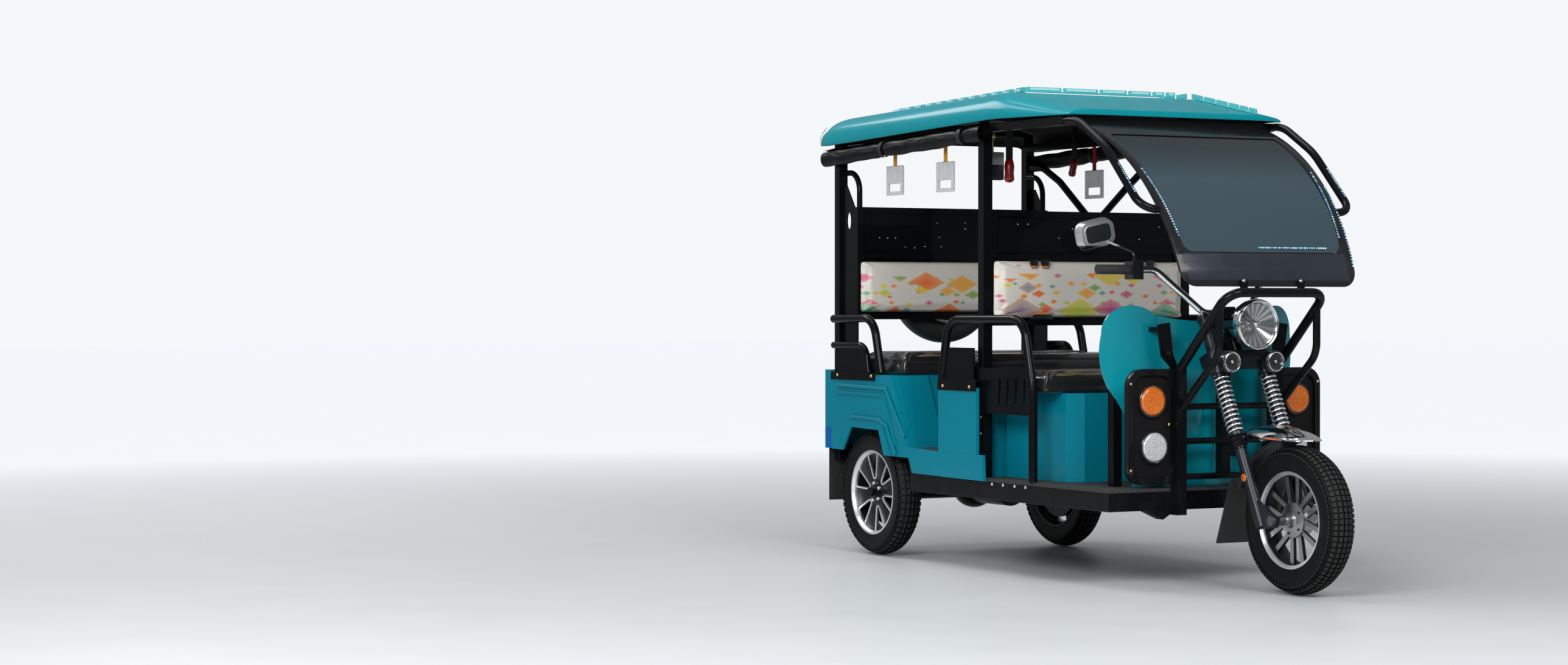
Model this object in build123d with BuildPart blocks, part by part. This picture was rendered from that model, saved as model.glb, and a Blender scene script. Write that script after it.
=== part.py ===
"""Three-wheeled electric passenger rickshaw, in millimetres.

+Z is up, the front faces -Y, and the origin is on the ground under the middle of the vehicle.
The vehicle's right-hand side is -X.
"""
from math import cos, radians, sin, sqrt

from build123d import *

import os

os.makedirs("parts", exist_ok=True)

# Gap between pieces that lie against each other, and the running fit of a shaft in its bore
seam = 0.3
running_fit = 0.05

# Wheels
wheelbase = 2043
front_axle_y = -1090
rear_axle_y = front_axle_y + wheelbase
front_tyre_radius = 251
rear_tyre_radius = 243
tyre_width = 98
rim_radius = 162
rim_width = 86
half_track = 423
rear_axle_to_pillar = 290

# Steering geometry: the fork legs and the steering axis lie in one raked plane
rake = 25
fork_foot_y = front_axle_y + 80
fork_foot_z = front_tyre_radius + 1
steering_axis = (0, sin(radians(rake)), cos(radians(rake)))
fork_plane = Plane(origin=(0, fork_foot_y, fork_foot_z), x_dir=(1, 0, 0), z_dir=steering_axis)
leg_spread = 100
stem_diameter = 30
head_tube_diameter = 46
head_tube_bottom = 603
head_tube_top = 728
clamp_gap = 1.5

# Chassis: half width over the beams, and heights above the ground
frame_half_width = half_track + 57
beam_width = 40
beam_bottom = 266
beam_top = 330
front_beam_y = -675
deck_thickness = 12
floor_z = beam_top + deck_thickness
rear_floor_z = 430
rail_x = half_track - 123
rail_top = 405
rail_height = 50

# Pillars and roof frame
pillar_size = 38
pillar_outer_x = frame_half_width - 22
pillar_x = pillar_outer_x - pillar_size / 2
mid_pillar_y = front_axle_y + round(0.618 * wheelbase)
rear_pillar_y = rear_axle_y + rear_axle_to_pillar
rear_frame_y = rear_pillar_y + pillar_size / 2
rear_pillar_front = rear_pillar_y - pillar_size / 2
roof_rail_bottom = 1596
roof_rail_height = 30
roof_rail_top = roof_rail_bottom + roof_rail_height
front_roof_y = -400

# Sheet metal body
panel_thickness = 13
panel_outer_x = frame_half_width + panel_thickness
body_top = 700
skirt_top = 425
body_rear_y = rear_frame_y + seam + panel_thickness
corner_strip = 52
sheet = 10
angle_leg = 4

# Seats
driver_box_half_width = frame_half_width - 120
driver_box_depth = 420
driver_box_rear = mid_pillar_y - 23
driver_box_front = driver_box_rear - driver_box_depth
driver_box_top = 656
mid_box_front = mid_pillar_y + pillar_size / 2 + seam
mid_box_depth = 220.7
mid_box_rear = mid_box_front + mid_box_depth
mid_box_top = 667
cushion_half_width = frame_half_width - 25
cushion_top = 788
pad_thickness = 34
backrest_depth = 26
rear_backrest_y = rear_pillar_y - 141

# Tubes
guard_tube = 32
guard_x = pillar_outer_x + guard_tube / 2 + seam
guard_plate = 6

# Front guard
post_size = 40
post_x = 205
post_bottom = 250
post_top = 750
post_y = front_beam_y - post_size / 2
hoop_y = -975
hoop_z = 1010

# Windscreen: the middle of its sheet, seen from the side, as (y, z)
screen_frame_thickness = 10
screen_glass_thickness = 4
screen_top = (front_roof_y + 20, roof_rail_bottom + 4)
screen_bottom = (hoop_y + 35, hoop_z + 20)
screen_bulge = (-110, 35)
screen_mid = tuple((a + b) / 2 + push for a, b, push in zip(screen_top, screen_bottom, screen_bulge))
screen_arc = ThreePointArc(screen_top, screen_mid, screen_bottom, mode=Mode.PRIVATE)
screen_centre = screen_arc.arc_center
screen_radius = screen_arc.radius


def screen_y(z, thickness):
    """Where the windscreen's curve lies at a height, on its far or near side."""
    reach = screen_radius + thickness / 2
    return screen_centre.X - sqrt(reach**2 - (z - screen_centre.Y) ** 2)


# The front cross bar closes the top of the windscreen, and the roof rails end with it
front_bar_y = screen_y(screen_top[1], -screen_frame_thickness) + seam


def span(centre, size):
    """The two limits of a size about a centre."""
    return centre - size / 2, centre + size / 2


def block(x, y, z, mode=Mode.ADD):
    """Add a box to the part that is being built, from its limits along X, Y and Z."""
    limits = (x, y, z)
    with Locations(tuple(sum(pair) / 2 for pair in limits)):
        Box(*(abs(pair[1] - pair[0]) for pair in limits), mode=mode)


def swept_tube(points, bend, diameter):
    """A round tube along points, with one bend radius or a list of them."""
    with BuildPart() as tube:
        with BuildLine() as route:
            FilletPolyline(*points, radius=bend)
        with BuildSketch(Plane(origin=route.line @ 0, z_dir=route.line % 0)):
            Circle(diameter / 2)
        sweep()
    return tube.part


def straight_bar(start, end, diameter):
    """A straight round bar between two points."""
    direction = Vector(*end) - Vector(*start)
    with BuildPart() as bar:
        with BuildSketch(Plane(origin=start, z_dir=direction)):
            Circle(diameter / 2)
        extrude(amount=direction.length)
    return bar.part


def side_plate(outline, inner_x, thickness, sign):
    """A flat plate from (y, z) points, standing fore and aft on one side of the vehicle."""
    with BuildPart() as plate:
        with BuildSketch(Plane(origin=(sign * inner_x, 0, 0), x_dir=(0, 1, 0), z_dir=(1, 0, 0))):
            with BuildLine():
                Polyline(*outline, close=True)
            make_face()
        extrude(amount=sign * thickness)
    return plate.part


def turned_shaft(steps):
    """A stepped round shaft along X, alike at both ends, from (x, radius) corners."""
    with BuildPart() as shaft:
        with BuildSketch(Plane.XZ):
            with BuildLine():
                Polyline(*[(-x, radius) for x, radius in reversed(steps)], *steps, close=True)
            make_face()
        revolve(axis=Axis.X)
    return shaft.part


def finish(name, part):
    """Label a piece and write it."""
    part.label = name
    export_step(part, f"parts/{name}.step")


# Chassis: a ladder of box sections, kicked up between the rear wheels
kick_y = rear_axle_y - 313
bracket_drop = 33
bracket_reach = 125
bracket_low = 49
bracket_lap = 6
with BuildPart() as chassis_frame:
    for sign in (-1, 1):
        outer = sign * frame_half_width
        block((outer, outer - sign * beam_width), (front_beam_y, kick_y), (beam_bottom, beam_top))
        block(span(sign * rail_x, beam_width), (kick_y - beam_width, rear_frame_y),
              (rail_top - rail_height, rail_top))
    # cross members: y of the front face, z of the bottom, z of the top
    for y, bottom, top in (
        (front_beam_y, beam_bottom, beam_top),
        (driver_box_front + 20, beam_bottom, beam_top),
        (mid_pillar_y - beam_width / 2, beam_bottom, beam_top),
        (kick_y - beam_width, beam_bottom, rail_top),
    ):
        block(span(0, 2 * frame_half_width), (y, y + beam_width), (bottom, top))
    block(span(0, 2 * pillar_outer_x), (rear_pillar_front, rear_frame_y), (rail_top - rail_height, rail_top))
    # pressed bracket under the front beam at each guard post
    for sign in (-1, 1):
        with BuildSketch(Plane.XZ.offset(-front_beam_y)):
            with BuildLine():
                Polyline((sign * (post_x + bracket_reach), beam_bottom),
                         (sign * (post_x + bracket_low), beam_bottom - bracket_drop),
                         (sign * (post_x - bracket_lap), beam_bottom), close=True)
            make_face()
        extrude(amount=-beam_width)
finish("chassis_frame", chassis_frame.part)

# Floors: the driver's deck, and the raised footwell between the passenger seats
with BuildPart() as floor_deck:
    block(span(0, 2 * frame_half_width), (front_beam_y, mid_pillar_y - pillar_size / 2 - seam),
          (beam_top, floor_z))
finish("floor_deck", floor_deck.part)

riser_sill = 24
with BuildPart() as passenger_floor:
    block(span(0, 2 * frame_half_width), (mid_box_rear + seam, kick_y - riser_sill - seam),
          (rear_floor_z - deck_thickness, rear_floor_z))
    for sign in (-1, 1):
        inner = sign * (frame_half_width - beam_width)
        outer = sign * frame_half_width
        block((inner, outer), (mid_box_rear + seam, kick_y - beam_width), (beam_top, rear_floor_z))
finish("passenger_floor", passenger_floor.part)

# Sheet metal sides, with the wheel arch, a pressed rib and a flared arch
arch_front = rear_axle_y - 144
arch_rear = rear_axle_y + 176
arch_top = 490
arch_foot = 397
skirt_reach = 72
riser_head_y = kick_y + 128
side_outline = (
    (rear_pillar_front, arch_foot + 5), (arch_rear, arch_foot + 4), (arch_rear - 66, arch_top + 3),
    (arch_front + 42, arch_top - 2), (arch_front, arch_foot - 4), (kick_y - 9, arch_foot - 6),
    (kick_y - 36, beam_top + 6), (mid_pillar_y - skirt_reach, beam_top + 1),
    (mid_pillar_y - skirt_reach + 7, skirt_top), (mid_box_rear, skirt_top), (kick_y, rear_floor_z + 2),
    (riser_head_y, body_top), (rear_pillar_front, body_top),
)
flare_outline = (
    (arch_rear, arch_foot + 4), (arch_rear - 66, arch_top + 3), (arch_front + 42, arch_top - 2),
    (arch_front, arch_foot - 4), (arch_front - 55, arch_foot - 4), (arch_front + 21, arch_top + 37),
    (arch_rear - 87, arch_top + 41), (arch_rear, arch_top - 20),
)
rib_rear_y = rear_pillar_y - 63
rib_top = 632
rib_foot = 437
rib_width = 12
rib_outline = ((rib_rear_y, rib_top), (kick_y + 166, rib_top - 4), (kick_y + 76, rib_foot),
               (kick_y + 90, rib_foot - 6), (kick_y + 178, rib_top - 4 - rib_width),
               (rib_rear_y, rib_top - rib_width))
press_depth = 4
with BuildPart() as body_sides:
    for sign in (-1, 1):
        add(side_plate(side_outline, frame_half_width, panel_thickness, sign))
        add(side_plate(flare_outline, frame_half_width, panel_thickness + press_depth, sign))
        add(side_plate(rib_outline, panel_outer_x - 1, press_depth + 1, sign))
finish("body_sides", body_sides.part)

# Rear panel: a shallow pan that wraps round both rear corners
rear_panel_bottom = rail_top - 2
rear_panel_top = body_top + 13
with BuildPart() as body_rear:
    block(span(0, 2 * panel_outer_x), (rear_frame_y + seam, body_rear_y), (rear_panel_bottom, rear_panel_top))
    for sign in (-1, 1):
        inner = sign * frame_half_width
        outer = sign * panel_outer_x
        block((inner, outer), (rear_pillar_front + seam, body_rear_y), (rear_panel_bottom, rear_panel_top))
finish("body_rear", body_rear.part)

# Rear seat base: leaning riser with a recessed middle, and a deck under the bench
riser_recess = frame_half_width - 140
riser_step = 12
riser_foot_y = kick_y
riser_toe_z = rail_top + seam
with BuildPart() as rear_seat_base:
    with BuildSketch(Plane.YZ.offset(-frame_half_width)):
        with BuildLine():
            Polyline((riser_foot_y, riser_toe_z), (riser_foot_y, rear_floor_z),
                     (riser_head_y, body_top - riser_step), (rear_pillar_front, body_top - riser_step),
                     (rear_pillar_front, body_top), (riser_head_y - riser_step / 2, body_top),
                     (riser_foot_y - riser_step, rear_floor_z), (riser_foot_y - riser_sill, rear_floor_z),
                     (riser_foot_y - riser_sill, riser_toe_z), close=True)
        make_face()
    extrude(amount=2 * frame_half_width)
    for sign in (-1, 1):
        with BuildSketch(Plane.YZ.offset(sign * riser_recess)):
            with BuildLine():
                Polyline((riser_foot_y - riser_step, rear_floor_z), (riser_head_y - riser_step / 2, body_top),
                         (riser_head_y - riser_sill - 2, body_top), (riser_foot_y - riser_sill, rear_floor_z),
                         close=True)
            make_face()
        extrude(amount=sign * (frame_half_width - riser_recess))
finish("rear_seat_base", rear_seat_base.part)

# Middle seat box: four walls and a lid, open below
mid_panel_front = mid_pillar_y - 25
with BuildPart() as mid_box:
    block(span(0, 2 * frame_half_width), (mid_box_front, mid_box_rear), (beam_top, mid_box_top))
    block(span(0, 2 * (frame_half_width - sheet)), (mid_box_front + sheet, mid_box_rear - sheet),
          (beam_top, mid_box_top - sheet), mode=Mode.SUBTRACT)
    for sign in (-1, 1):
        inner = sign * frame_half_width
        outer = sign * panel_outer_x
        block((inner, outer), (mid_panel_front, mid_box_rear), (skirt_top + seam, mid_box_top))
finish("mid_box", mid_box.part)

# Driver's seat box, with chamfered front corners
box_chamfer = 57
with BuildPart() as driver_box:
    for inset, mode in ((0, Mode.ADD), (sheet, Mode.SUBTRACT)):
        half = driver_box_half_width - inset
        front = driver_box_front + inset
        rear = driver_box_rear - inset
        with BuildSketch(Plane.XY.offset(floor_z)):
            with BuildLine():
                Polyline((-half, rear), (-half, front + 0.6 * box_chamfer), (-half + box_chamfer, front),
                         (half - box_chamfer, front), (half, front + 0.6 * box_chamfer), (half, rear),
                         close=True)
            make_face()
        extrude(amount=driver_box_top - floor_z - inset, mode=mode)
finish("driver_box", driver_box.part)

# Cushions: name, front y, rear y, bottom z, top z
cushions = (
    ("driver_cushion", driver_box_front + 32, driver_box_rear - 12, driver_box_top + seam, 736),
    ("mid_cushion", mid_box_front + 8, mid_box_rear + 99, mid_box_top + seam, cushion_top),
    ("rear_cushion", riser_head_y - 30, rear_backrest_y - 10, body_top + seam, cushion_top),
)
cushion_corner = 18
for name, front, rear, bottom, top in cushions:
    with BuildPart() as cushion:
        block(span(0, 2 * cushion_half_width), (front, rear), (bottom, top))
        fillet(cushion.edges().group_by(Axis.Z)[-1], cushion_corner)
    finish(name, cushion.part)

# Backrests: a sheet between three cross tubes, and a pad on its front
# name, y of the front face, half width, bottom z, pad bottom z, pad top z, board bottom z, board top z
backrests = (
    ("mid", mid_pillar_y - backrest_depth / 2, pillar_outer_x - pillar_size - seam,
     893, 915, 1135, 1171, 1313),
    ("rear", rear_backrest_y, pillar_x - seam, 912, 934, 1145, 1162, 1353),
)
backrest_tube = 22
backrest_sheet = 6
pad_corner = 10
for name, front, half_width, bottom, pad_bottom, pad_top, board_bottom, board_top in backrests:
    with BuildPart() as backrest:
        for z in (bottom, board_bottom - backrest_tube / 2, board_top - backrest_tube):
            block(span(0, 2 * half_width), (front, front + backrest_depth), (z, z + backrest_tube))
        for sign in (-1, 1):
            inner = sign * (half_width - backrest_tube)
            outer = sign * half_width
            block((inner, outer), (front, front + backrest_depth), (bottom, board_top))
        sheet_front = front + (backrest_depth - backrest_sheet) / 2
        block(span(0, 2 * half_width), (sheet_front, sheet_front + backrest_sheet), (bottom, board_top))
    finish(f"{name}_backrest", backrest.part)
    with BuildPart() as pad:
        block(span(0, 2 * half_width), (front - pad_thickness - seam, front - seam), (pad_bottom, pad_top))
        fillet(pad.edges().group_by(Axis.Y)[0], pad_corner)
    finish(f"{name}_backrest_pad", pad.part)

# Roof, from cross sections along the vehicle
# y, then out from the pillars and up from the rails for the lip, the shoulder and the crown's edge
roof_ridge_y = front_roof_y + 420
roof_sections = tuple(
    (y, pillar_outer_x + lip_x, roof_rail_bottom + lip_z, pillar_outer_x + shoulder_x,
     roof_rail_bottom + shoulder_z, pillar_outer_x + crown_x, roof_rail_bottom + crown_z)
    for y, lip_x, lip_z, shoulder_x, shoulder_z, crown_x, crown_z in (
        (rear_pillar_y + 98, -28, 22, -43, 44, -78, 54),
        (rear_pillar_y + 47, 34, 0, 10, 72, -73, 94),
        (rear_pillar_y - 19, 47, 2, 12, 89, -78, 107),
        (roof_ridge_y, 47, 40, 12, 120, -88, 142),
        (front_roof_y, 2, 34, -3, 46, -78, 56),
    )
)
roof_wall = 10


def roof_rows(inset, drop):
    """The sections of the roof's outer form, or of the hollow under it."""
    rows = []
    for y, lip_x, lip_z, shoulder_x, shoulder_z, crown_x, crown_z in roof_sections:
        ends = inset if y in (roof_sections[0][0], front_roof_y) else 0
        place = y - ends if y > 0 else y + ends
        rows.append((place, lip_x - inset, lip_z - drop, shoulder_x - inset, shoulder_z - inset,
                     crown_x - inset / 2, crown_z - inset))
    return rows


def roof_body(inset, drop):
    """The roof's outer form, or the hollow under it, as a solid."""
    with BuildPart() as body:
        for y, lip_x, lip_z, shoulder_x, shoulder_z, crown_x, crown_z in roof_rows(inset, drop):
            half = ((lip_x, lip_z), (shoulder_x, shoulder_z), (crown_x, crown_z))
            with BuildSketch(Plane.XZ.offset(-y)):
                with BuildLine():
                    Polyline(*half, *[(-x, z) for x, z in reversed(half)], close=True)
                make_face()
        loft(ruled=True)
    return body.part


def roof_line(y):
    """The hollow's outline at a place along the vehicle, read between its sections."""
    rows = roof_rows(roof_wall, 0)
    for rear, front in zip(rows, rows[1:]):
        if front[0] <= y <= rear[0]:
            share = (y - front[0]) / (rear[0] - front[0])
            return [b + share * (a - b) for a, b in zip(rear[1:], front[1:])]


roof_outside = roof_body(0, 0)
roof_inside = roof_body(roof_wall, roof_wall / 2)
with BuildPart() as roof_shell:
    add(roof_outside)
    add(roof_inside, mode=Mode.SUBTRACT)
finish("roof_shell", roof_shell.part)

# Rows of square blocks on a thin strip, along the crown's edges and over its ridge
trim_width = 10
trim_strip = 5
trim_height = 19
trim_x = pillar_outer_x - 102
crown_fall = (roof_sections[3][6] - roof_sections[2][6]) / (roof_sections[2][0] - roof_ridge_y)
crown_drop = (roof_sections[3][6] - roof_sections[4][6]) / (roof_ridge_y - front_roof_y)


def comb(stretches, bottom):
    """A toothed strip's outline: its blocks as (start, end), over a bottom line given by a function."""
    upper = []
    for start, end in stretches:
        upper += [(start, bottom(start) + trim_strip), (start, bottom(start) + trim_height),
                  (end, bottom(end) + trim_height), (end, bottom(end) + trim_strip)]
    first, last = stretches[0][0], stretches[-1][1]
    return [(first, bottom(first)), *upper, (last, bottom(last))]


def crown_top(y):
    """The height just over the roof's crown at a place along the vehicle."""
    fall = crown_fall * (y - roof_ridge_y) if y > roof_ridge_y else crown_drop * (roof_ridge_y - y)
    return roof_sections[3][6] - fall + seam


side_blocks = [(roof_ridge_y + 78 * number + 22, roof_ridge_y + 78 * number + 78) for number in range(12)]
ridge_ends = (-350, -205, -193, -45, -33, 82, 94, 190, 202, 250, 262, 300)
ridge_blocks = list(zip(ridge_ends[::2], ridge_ends[1::2]))
visor_ends = (18, 78, 94, 154, 170, 230, 246, 296, 310, 350, 364, 404)
visor_blocks = [(roof_ridge_y - end, roof_ridge_y - start)
                for start, end in zip(visor_ends[::2], visor_ends[1::2])][::-1]
with BuildPart() as roof_edge_blocks:
    for sign, blocks in ((-1, side_blocks), (1, side_blocks), (1, visor_blocks)):
        with BuildSketch(Plane(origin=(sign * trim_x, 0, 0), x_dir=(0, 1, 0), z_dir=(1, 0, 0))):
            with BuildLine():
                Polyline(*comb(blocks, crown_top), close=True)
            make_face()
        extrude(amount=trim_width)
    with BuildSketch(Plane.XZ.offset(-(roof_ridge_y + 6 + trim_width))):
        with BuildLine():
            Polyline(*comb(ridge_blocks, lambda x: crown_top(roof_ridge_y + 6)), close=True)
        make_face()
    extrude(amount=trim_width)
finish("roof_edge_blocks", roof_edge_blocks.part)

# Pillars, roof rails, roof hoops and the spare wheel's bar
hoop_size = 28
spare_bar = (1040, 1080)
spare_bar_depth = 24
with BuildPart() as canopy_frame:
    for sign in (-1, 1):
        for y, foot in ((mid_pillar_y, beam_top), (rear_pillar_y, rail_top)):
            block(span(sign * pillar_x, pillar_size), span(y, pillar_size), (foot, roof_rail_top))
        block(span(sign * pillar_x, pillar_size), (front_bar_y, rear_frame_y),
              (roof_rail_bottom, roof_rail_top))
    for y in (front_roof_y + 180, mid_pillar_y, (mid_pillar_y + rear_pillar_y) / 2, rear_pillar_y):
        ends = zip(roof_line(y - hoop_size / 2), roof_line(y + hoop_size / 2))
        lip_x, lip_z, shoulder_x, shoulder_z, crown_x, crown_z = [min(pair) for pair in ends]
        shoulder = (shoulder_x - 4, shoulder_z - 3)
        crown = (crown_x - 5, crown_z - seam)
        outer = ((pillar_outer_x, roof_rail_bottom), shoulder, crown)
        inner = ((pillar_outer_x - hoop_size, roof_rail_bottom),
                 (shoulder[0] - hoop_size, shoulder[1] - hoop_size / 3),
                 (crown[0] - hoop_size / 4, crown[1] - hoop_size))
        with BuildSketch(Plane.XZ.offset(-(y + hoop_size / 2))):
            for points, mode in ((outer, Mode.ADD), (inner, Mode.SUBTRACT)):
                with BuildLine():
                    Polyline(*points, *[(-x, z) for x, z in reversed(points)], close=True)
                make_face(mode=mode)
        extrude(amount=hoop_size)
    block(span(0, 2 * pillar_outer_x), (front_bar_y, front_bar_y + roof_rail_height),
          (roof_rail_bottom, roof_rail_top))
    block(span(0, 2 * pillar_outer_x), (rear_frame_y - spare_bar_depth, rear_frame_y), spare_bar)
finish("canopy_frame", canopy_frame.part)

# Sheet plates and bent tubes that tie the rear backrest to the rear pillars
tie_plate = 5
tie_top = 1440
tie_step = 1353
tie_tube = 22
tie_tube_x = pillar_x - tie_tube / 2 - seam
tie_tube_z = 1490
tie_hole = (rear_pillar_y - 71, 1300)
tie_front = rear_backrest_y
tie_rear = rear_pillar_front - seam
tie_outline = ((tie_rear, body_top + seam), (tie_rear, tie_top), (rear_pillar_y - 53, tie_top),
               (tie_front + backrest_depth, tie_step), (tie_front, tie_step), (tie_front, body_top + seam))
with BuildPart() as seat_side_plates:
    for sign in (-1, 1):
        add(side_plate(tie_outline, pillar_x, tie_plate, sign))
        with BuildSketch(Plane(origin=(sign * pillar_x, *tie_hole), x_dir=(0, 1, 0), z_dir=(sign, 0, 0))):
            Ellipse(16, 34)
        extrude(amount=tie_plate, mode=Mode.SUBTRACT)
        x = sign * tie_tube_x
        tube_foot_y = tie_front + backrest_depth / 2
        add(swept_tube([(x, tie_rear, tie_tube_z), (x, tube_foot_y, tie_tube_z),
                        (x, tube_foot_y, tie_step + seam)], 75, tie_tube))
finish("seat_side_plates", seat_side_plates.part)

# Rolled side curtains under the roof lips
curtain_half_width = 26
curtain_half_height = 31
curtain_x = pillar_outer_x + curtain_half_width + seam
curtain_overhang = 54
with BuildPart() as curtain_rolls:
    for sign in (-1, 1):
        start = Vector(sign * curtain_x, rear_pillar_y + curtain_overhang, roof_rail_bottom - 44)
        end = Vector(sign * curtain_x, mid_pillar_y - 55, roof_rail_bottom + 1)
        direction = end - start
        with BuildSketch(Plane(origin=start, x_dir=(1, 0, 0), z_dir=direction)):
            Ellipse(curtain_half_width, curtain_half_height)
        extrude(amount=direction.length)
finish("curtain_rolls", curtain_rolls.part)

# Grab handles on straps under the roof rails: y, side
rail_low_y = mid_pillar_y + 587
handle_places = ((rail_low_y + 60, -1), (mid_pillar_y + 277, -1), (rail_low_y, 1))
handle_drop = 206
handle_height = 112
handle_length = 120
handle_bar = 14
handle_slot = 44
with BuildPart() as grab_handles:
    for y, sign in handle_places:
        x = sign * pillar_x
        foot = roof_rail_bottom - handle_drop
        head = foot + handle_height
        block(span(x, 4), span(y, 22), (head - 2, roof_rail_bottom - seam))
        block(span(x, 10), span(y, handle_length), (foot + handle_slot, head))
        block(span(x, 10), span(y, handle_length), (foot, foot + handle_bar))
        for end in (y - handle_length / 2, y + handle_length / 2 - handle_bar):
            block(span(x, 10), (end, end + handle_bar), (foot, head))
finish("grab_handles", grab_handles.part)

# Guard loops beside the middle seat, with a solid plate, a louvred plate and a foot angle
loop_leg_y = mid_pillar_y - 373
loop_top = 918
loop_plate_top = 812
louvre_pitch = 55
louvre_y = [loop_leg_y + 70 + louvre_pitch * number for number in range(4)]
louvre_plate_z = (575, 740)
with BuildPart() as guard_loops:
    for sign in (-1, 1):
        x = sign * guard_x
        add(swept_tube([(x, mid_box_rear + 3, mid_box_top + 29), (x, mid_box_rear - 41, loop_top - 2),
                        (x, loop_leg_y + 60, loop_top),
                        (x, loop_leg_y, 663), (x, loop_leg_y, floor_z + seam)], [90, 90, 300], guard_tube))
        add(side_plate(((mid_box_rear - 13, mid_box_top + 27), (mid_pillar_y + 19, mid_box_top + 27),
                        (mid_pillar_y + 19, loop_plate_top), (mid_box_rear - 28, loop_plate_top)),
                       guard_x - guard_plate / 2, guard_plate, sign))
        add(side_plate(((mid_box_front, louvre_plate_z[0]), (loop_leg_y, louvre_plate_z[0]),
                        (loop_leg_y + 14, louvre_plate_z[1]), (mid_box_front, louvre_plate_z[1])),
                       pillar_outer_x + seam, guard_plate, sign))
        with BuildSketch(Plane(origin=(sign * pillar_outer_x, 0, 0), x_dir=(0, 1, 0), z_dir=(1, 0, 0))):
            with Locations(*[(y, sum(louvre_plate_z) / 2) for y in louvre_y]):
                Rectangle(14, 90)
        extrude(amount=sign * (guard_plate + 1), mode=Mode.SUBTRACT)
        block((sign * panel_outer_x, sign * (panel_outer_x + angle_leg)), (mid_panel_front, mid_box_rear),
              (mid_box_top - 12, mid_box_top + 30))
        block((sign * (guard_x - 3), sign * (panel_outer_x + angle_leg)), (mid_panel_front + 6, mid_box_rear),
              (mid_box_top + 23, mid_box_top + 30))
finish("guard_loops", guard_loops.part)

# Arm loops beside the rear bench
arm_rear_y = rear_pillar_y - 3
arm_bend_y = rear_pillar_y - 318
arm_foot_y = rear_pillar_y - 377
arm_top = 918
arm_inner_top = 812
arm_slot_pitch = 50
arm_slot_y = rear_pillar_front - 190
arm_slot_z = (body_top + arm_inner_top) / 2
arm_outer = ((arm_rear_y, arm_top - 4), (arm_bend_y, arm_top), (arm_foot_y, body_top + 6))
arm_inner = ((arm_rear_y, arm_inner_top - 2), (arm_bend_y + 60, arm_inner_top),
             (arm_bend_y + 39, body_top + 6))
with BuildPart() as arm_loops:
    for sign in (-1, 1):
        x = sign * guard_x
        add(swept_tube([(x, y, z) for y, z in arm_outer], 90, guard_tube))
        add(swept_tube([(x, y, z) for y, z in arm_inner], 60, guard_tube - 6))
        add(side_plate(((rear_pillar_front, body_top + 2), (arm_bend_y + 45, body_top + 2),
                        (arm_bend_y + 60, arm_inner_top - 6), (rear_pillar_front, arm_inner_top - 6)),
                       guard_x - guard_plate / 2, guard_plate, sign))
        with BuildSketch(Plane(origin=(sign * (guard_x - guard_plate), 0, 0), x_dir=(0, 1, 0),
                               z_dir=(sign, 0, 0))):
            with Locations(*[(arm_slot_y + arm_slot_pitch * number, arm_slot_z) for number in range(4)]):
                Rectangle(14, 58)
        extrude(amount=2 * guard_plate, mode=Mode.SUBTRACT)
        block((sign * (panel_outer_x + seam), sign * (panel_outer_x + seam + angle_leg)),
              (arm_foot_y + 14, rear_pillar_front), (body_top - 24, body_top + 6))
        block((sign * (guard_x - 3), sign * (panel_outer_x + angle_leg)),
              (arm_foot_y - 16, rear_pillar_front), (body_top + seam, body_top + 6))
finish("arm_loops", arm_loops.part)

# Bent rail that closes the left side above the passengers' shoulders
side_rail_tube = 28
rail_rear_z = 1527
rail_low_z = 1285
rail_front_y = mid_pillar_y + 127
side_rail_points = ((rear_pillar_front - seam, rail_rear_z), (rear_pillar_y - 113, rail_rear_z),
                    (rear_pillar_y - 238, rail_rear_z - 62), (rail_low_y, rail_low_z),
                    (rail_low_y - 224, rail_low_z + 141), (rail_front_y, roof_rail_bottom - 36),
                    (rail_front_y, roof_rail_bottom - seam))
with BuildPart() as side_guard_rail:
    add(swept_tube([(pillar_x, y, z) for y, z in side_rail_points], [90, 120, 120, 160, 30], side_rail_tube))
finish("side_guard_rail", side_guard_rail.part)

# Rear axle with differential and motor, and leaf springs
axle_radius = 32
shaft_radius = 14
rear_hub_half_width = 44
rear_hub_end = half_track + rear_hub_half_width
wheel_clearance = 5
spring_width = 44
motor_radius = 72
with BuildPart() as rear_axle:
    with Locations((0, rear_axle_y, rear_tyre_radius)):
        add(turned_shaft((
            (half_track - rear_hub_half_width - wheel_clearance, axle_radius),
            (half_track - rear_hub_half_width - wheel_clearance, shaft_radius),
            (rear_hub_end + 1, shaft_radius), (rear_hub_end + 1, shaft_radius + 5),
            (rear_hub_end + 10, shaft_radius + 5), (rear_hub_end + 10, 0),
        )))
    with Locations((0, rear_axle_y, rear_tyre_radius + 15)):
        Sphere(88)
    with Locations(Location((0, rear_axle_y - 170, rear_tyre_radius + 20), (90, 0, 0))):
        Cylinder(motor_radius, 200)
    for sign in (-1, 1):
        block(span(sign * rail_x, spring_width), span(rear_axle_y, 90),
              (rear_tyre_radius, rear_tyre_radius + axle_radius))
finish("rear_axle", rear_axle.part)

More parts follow.
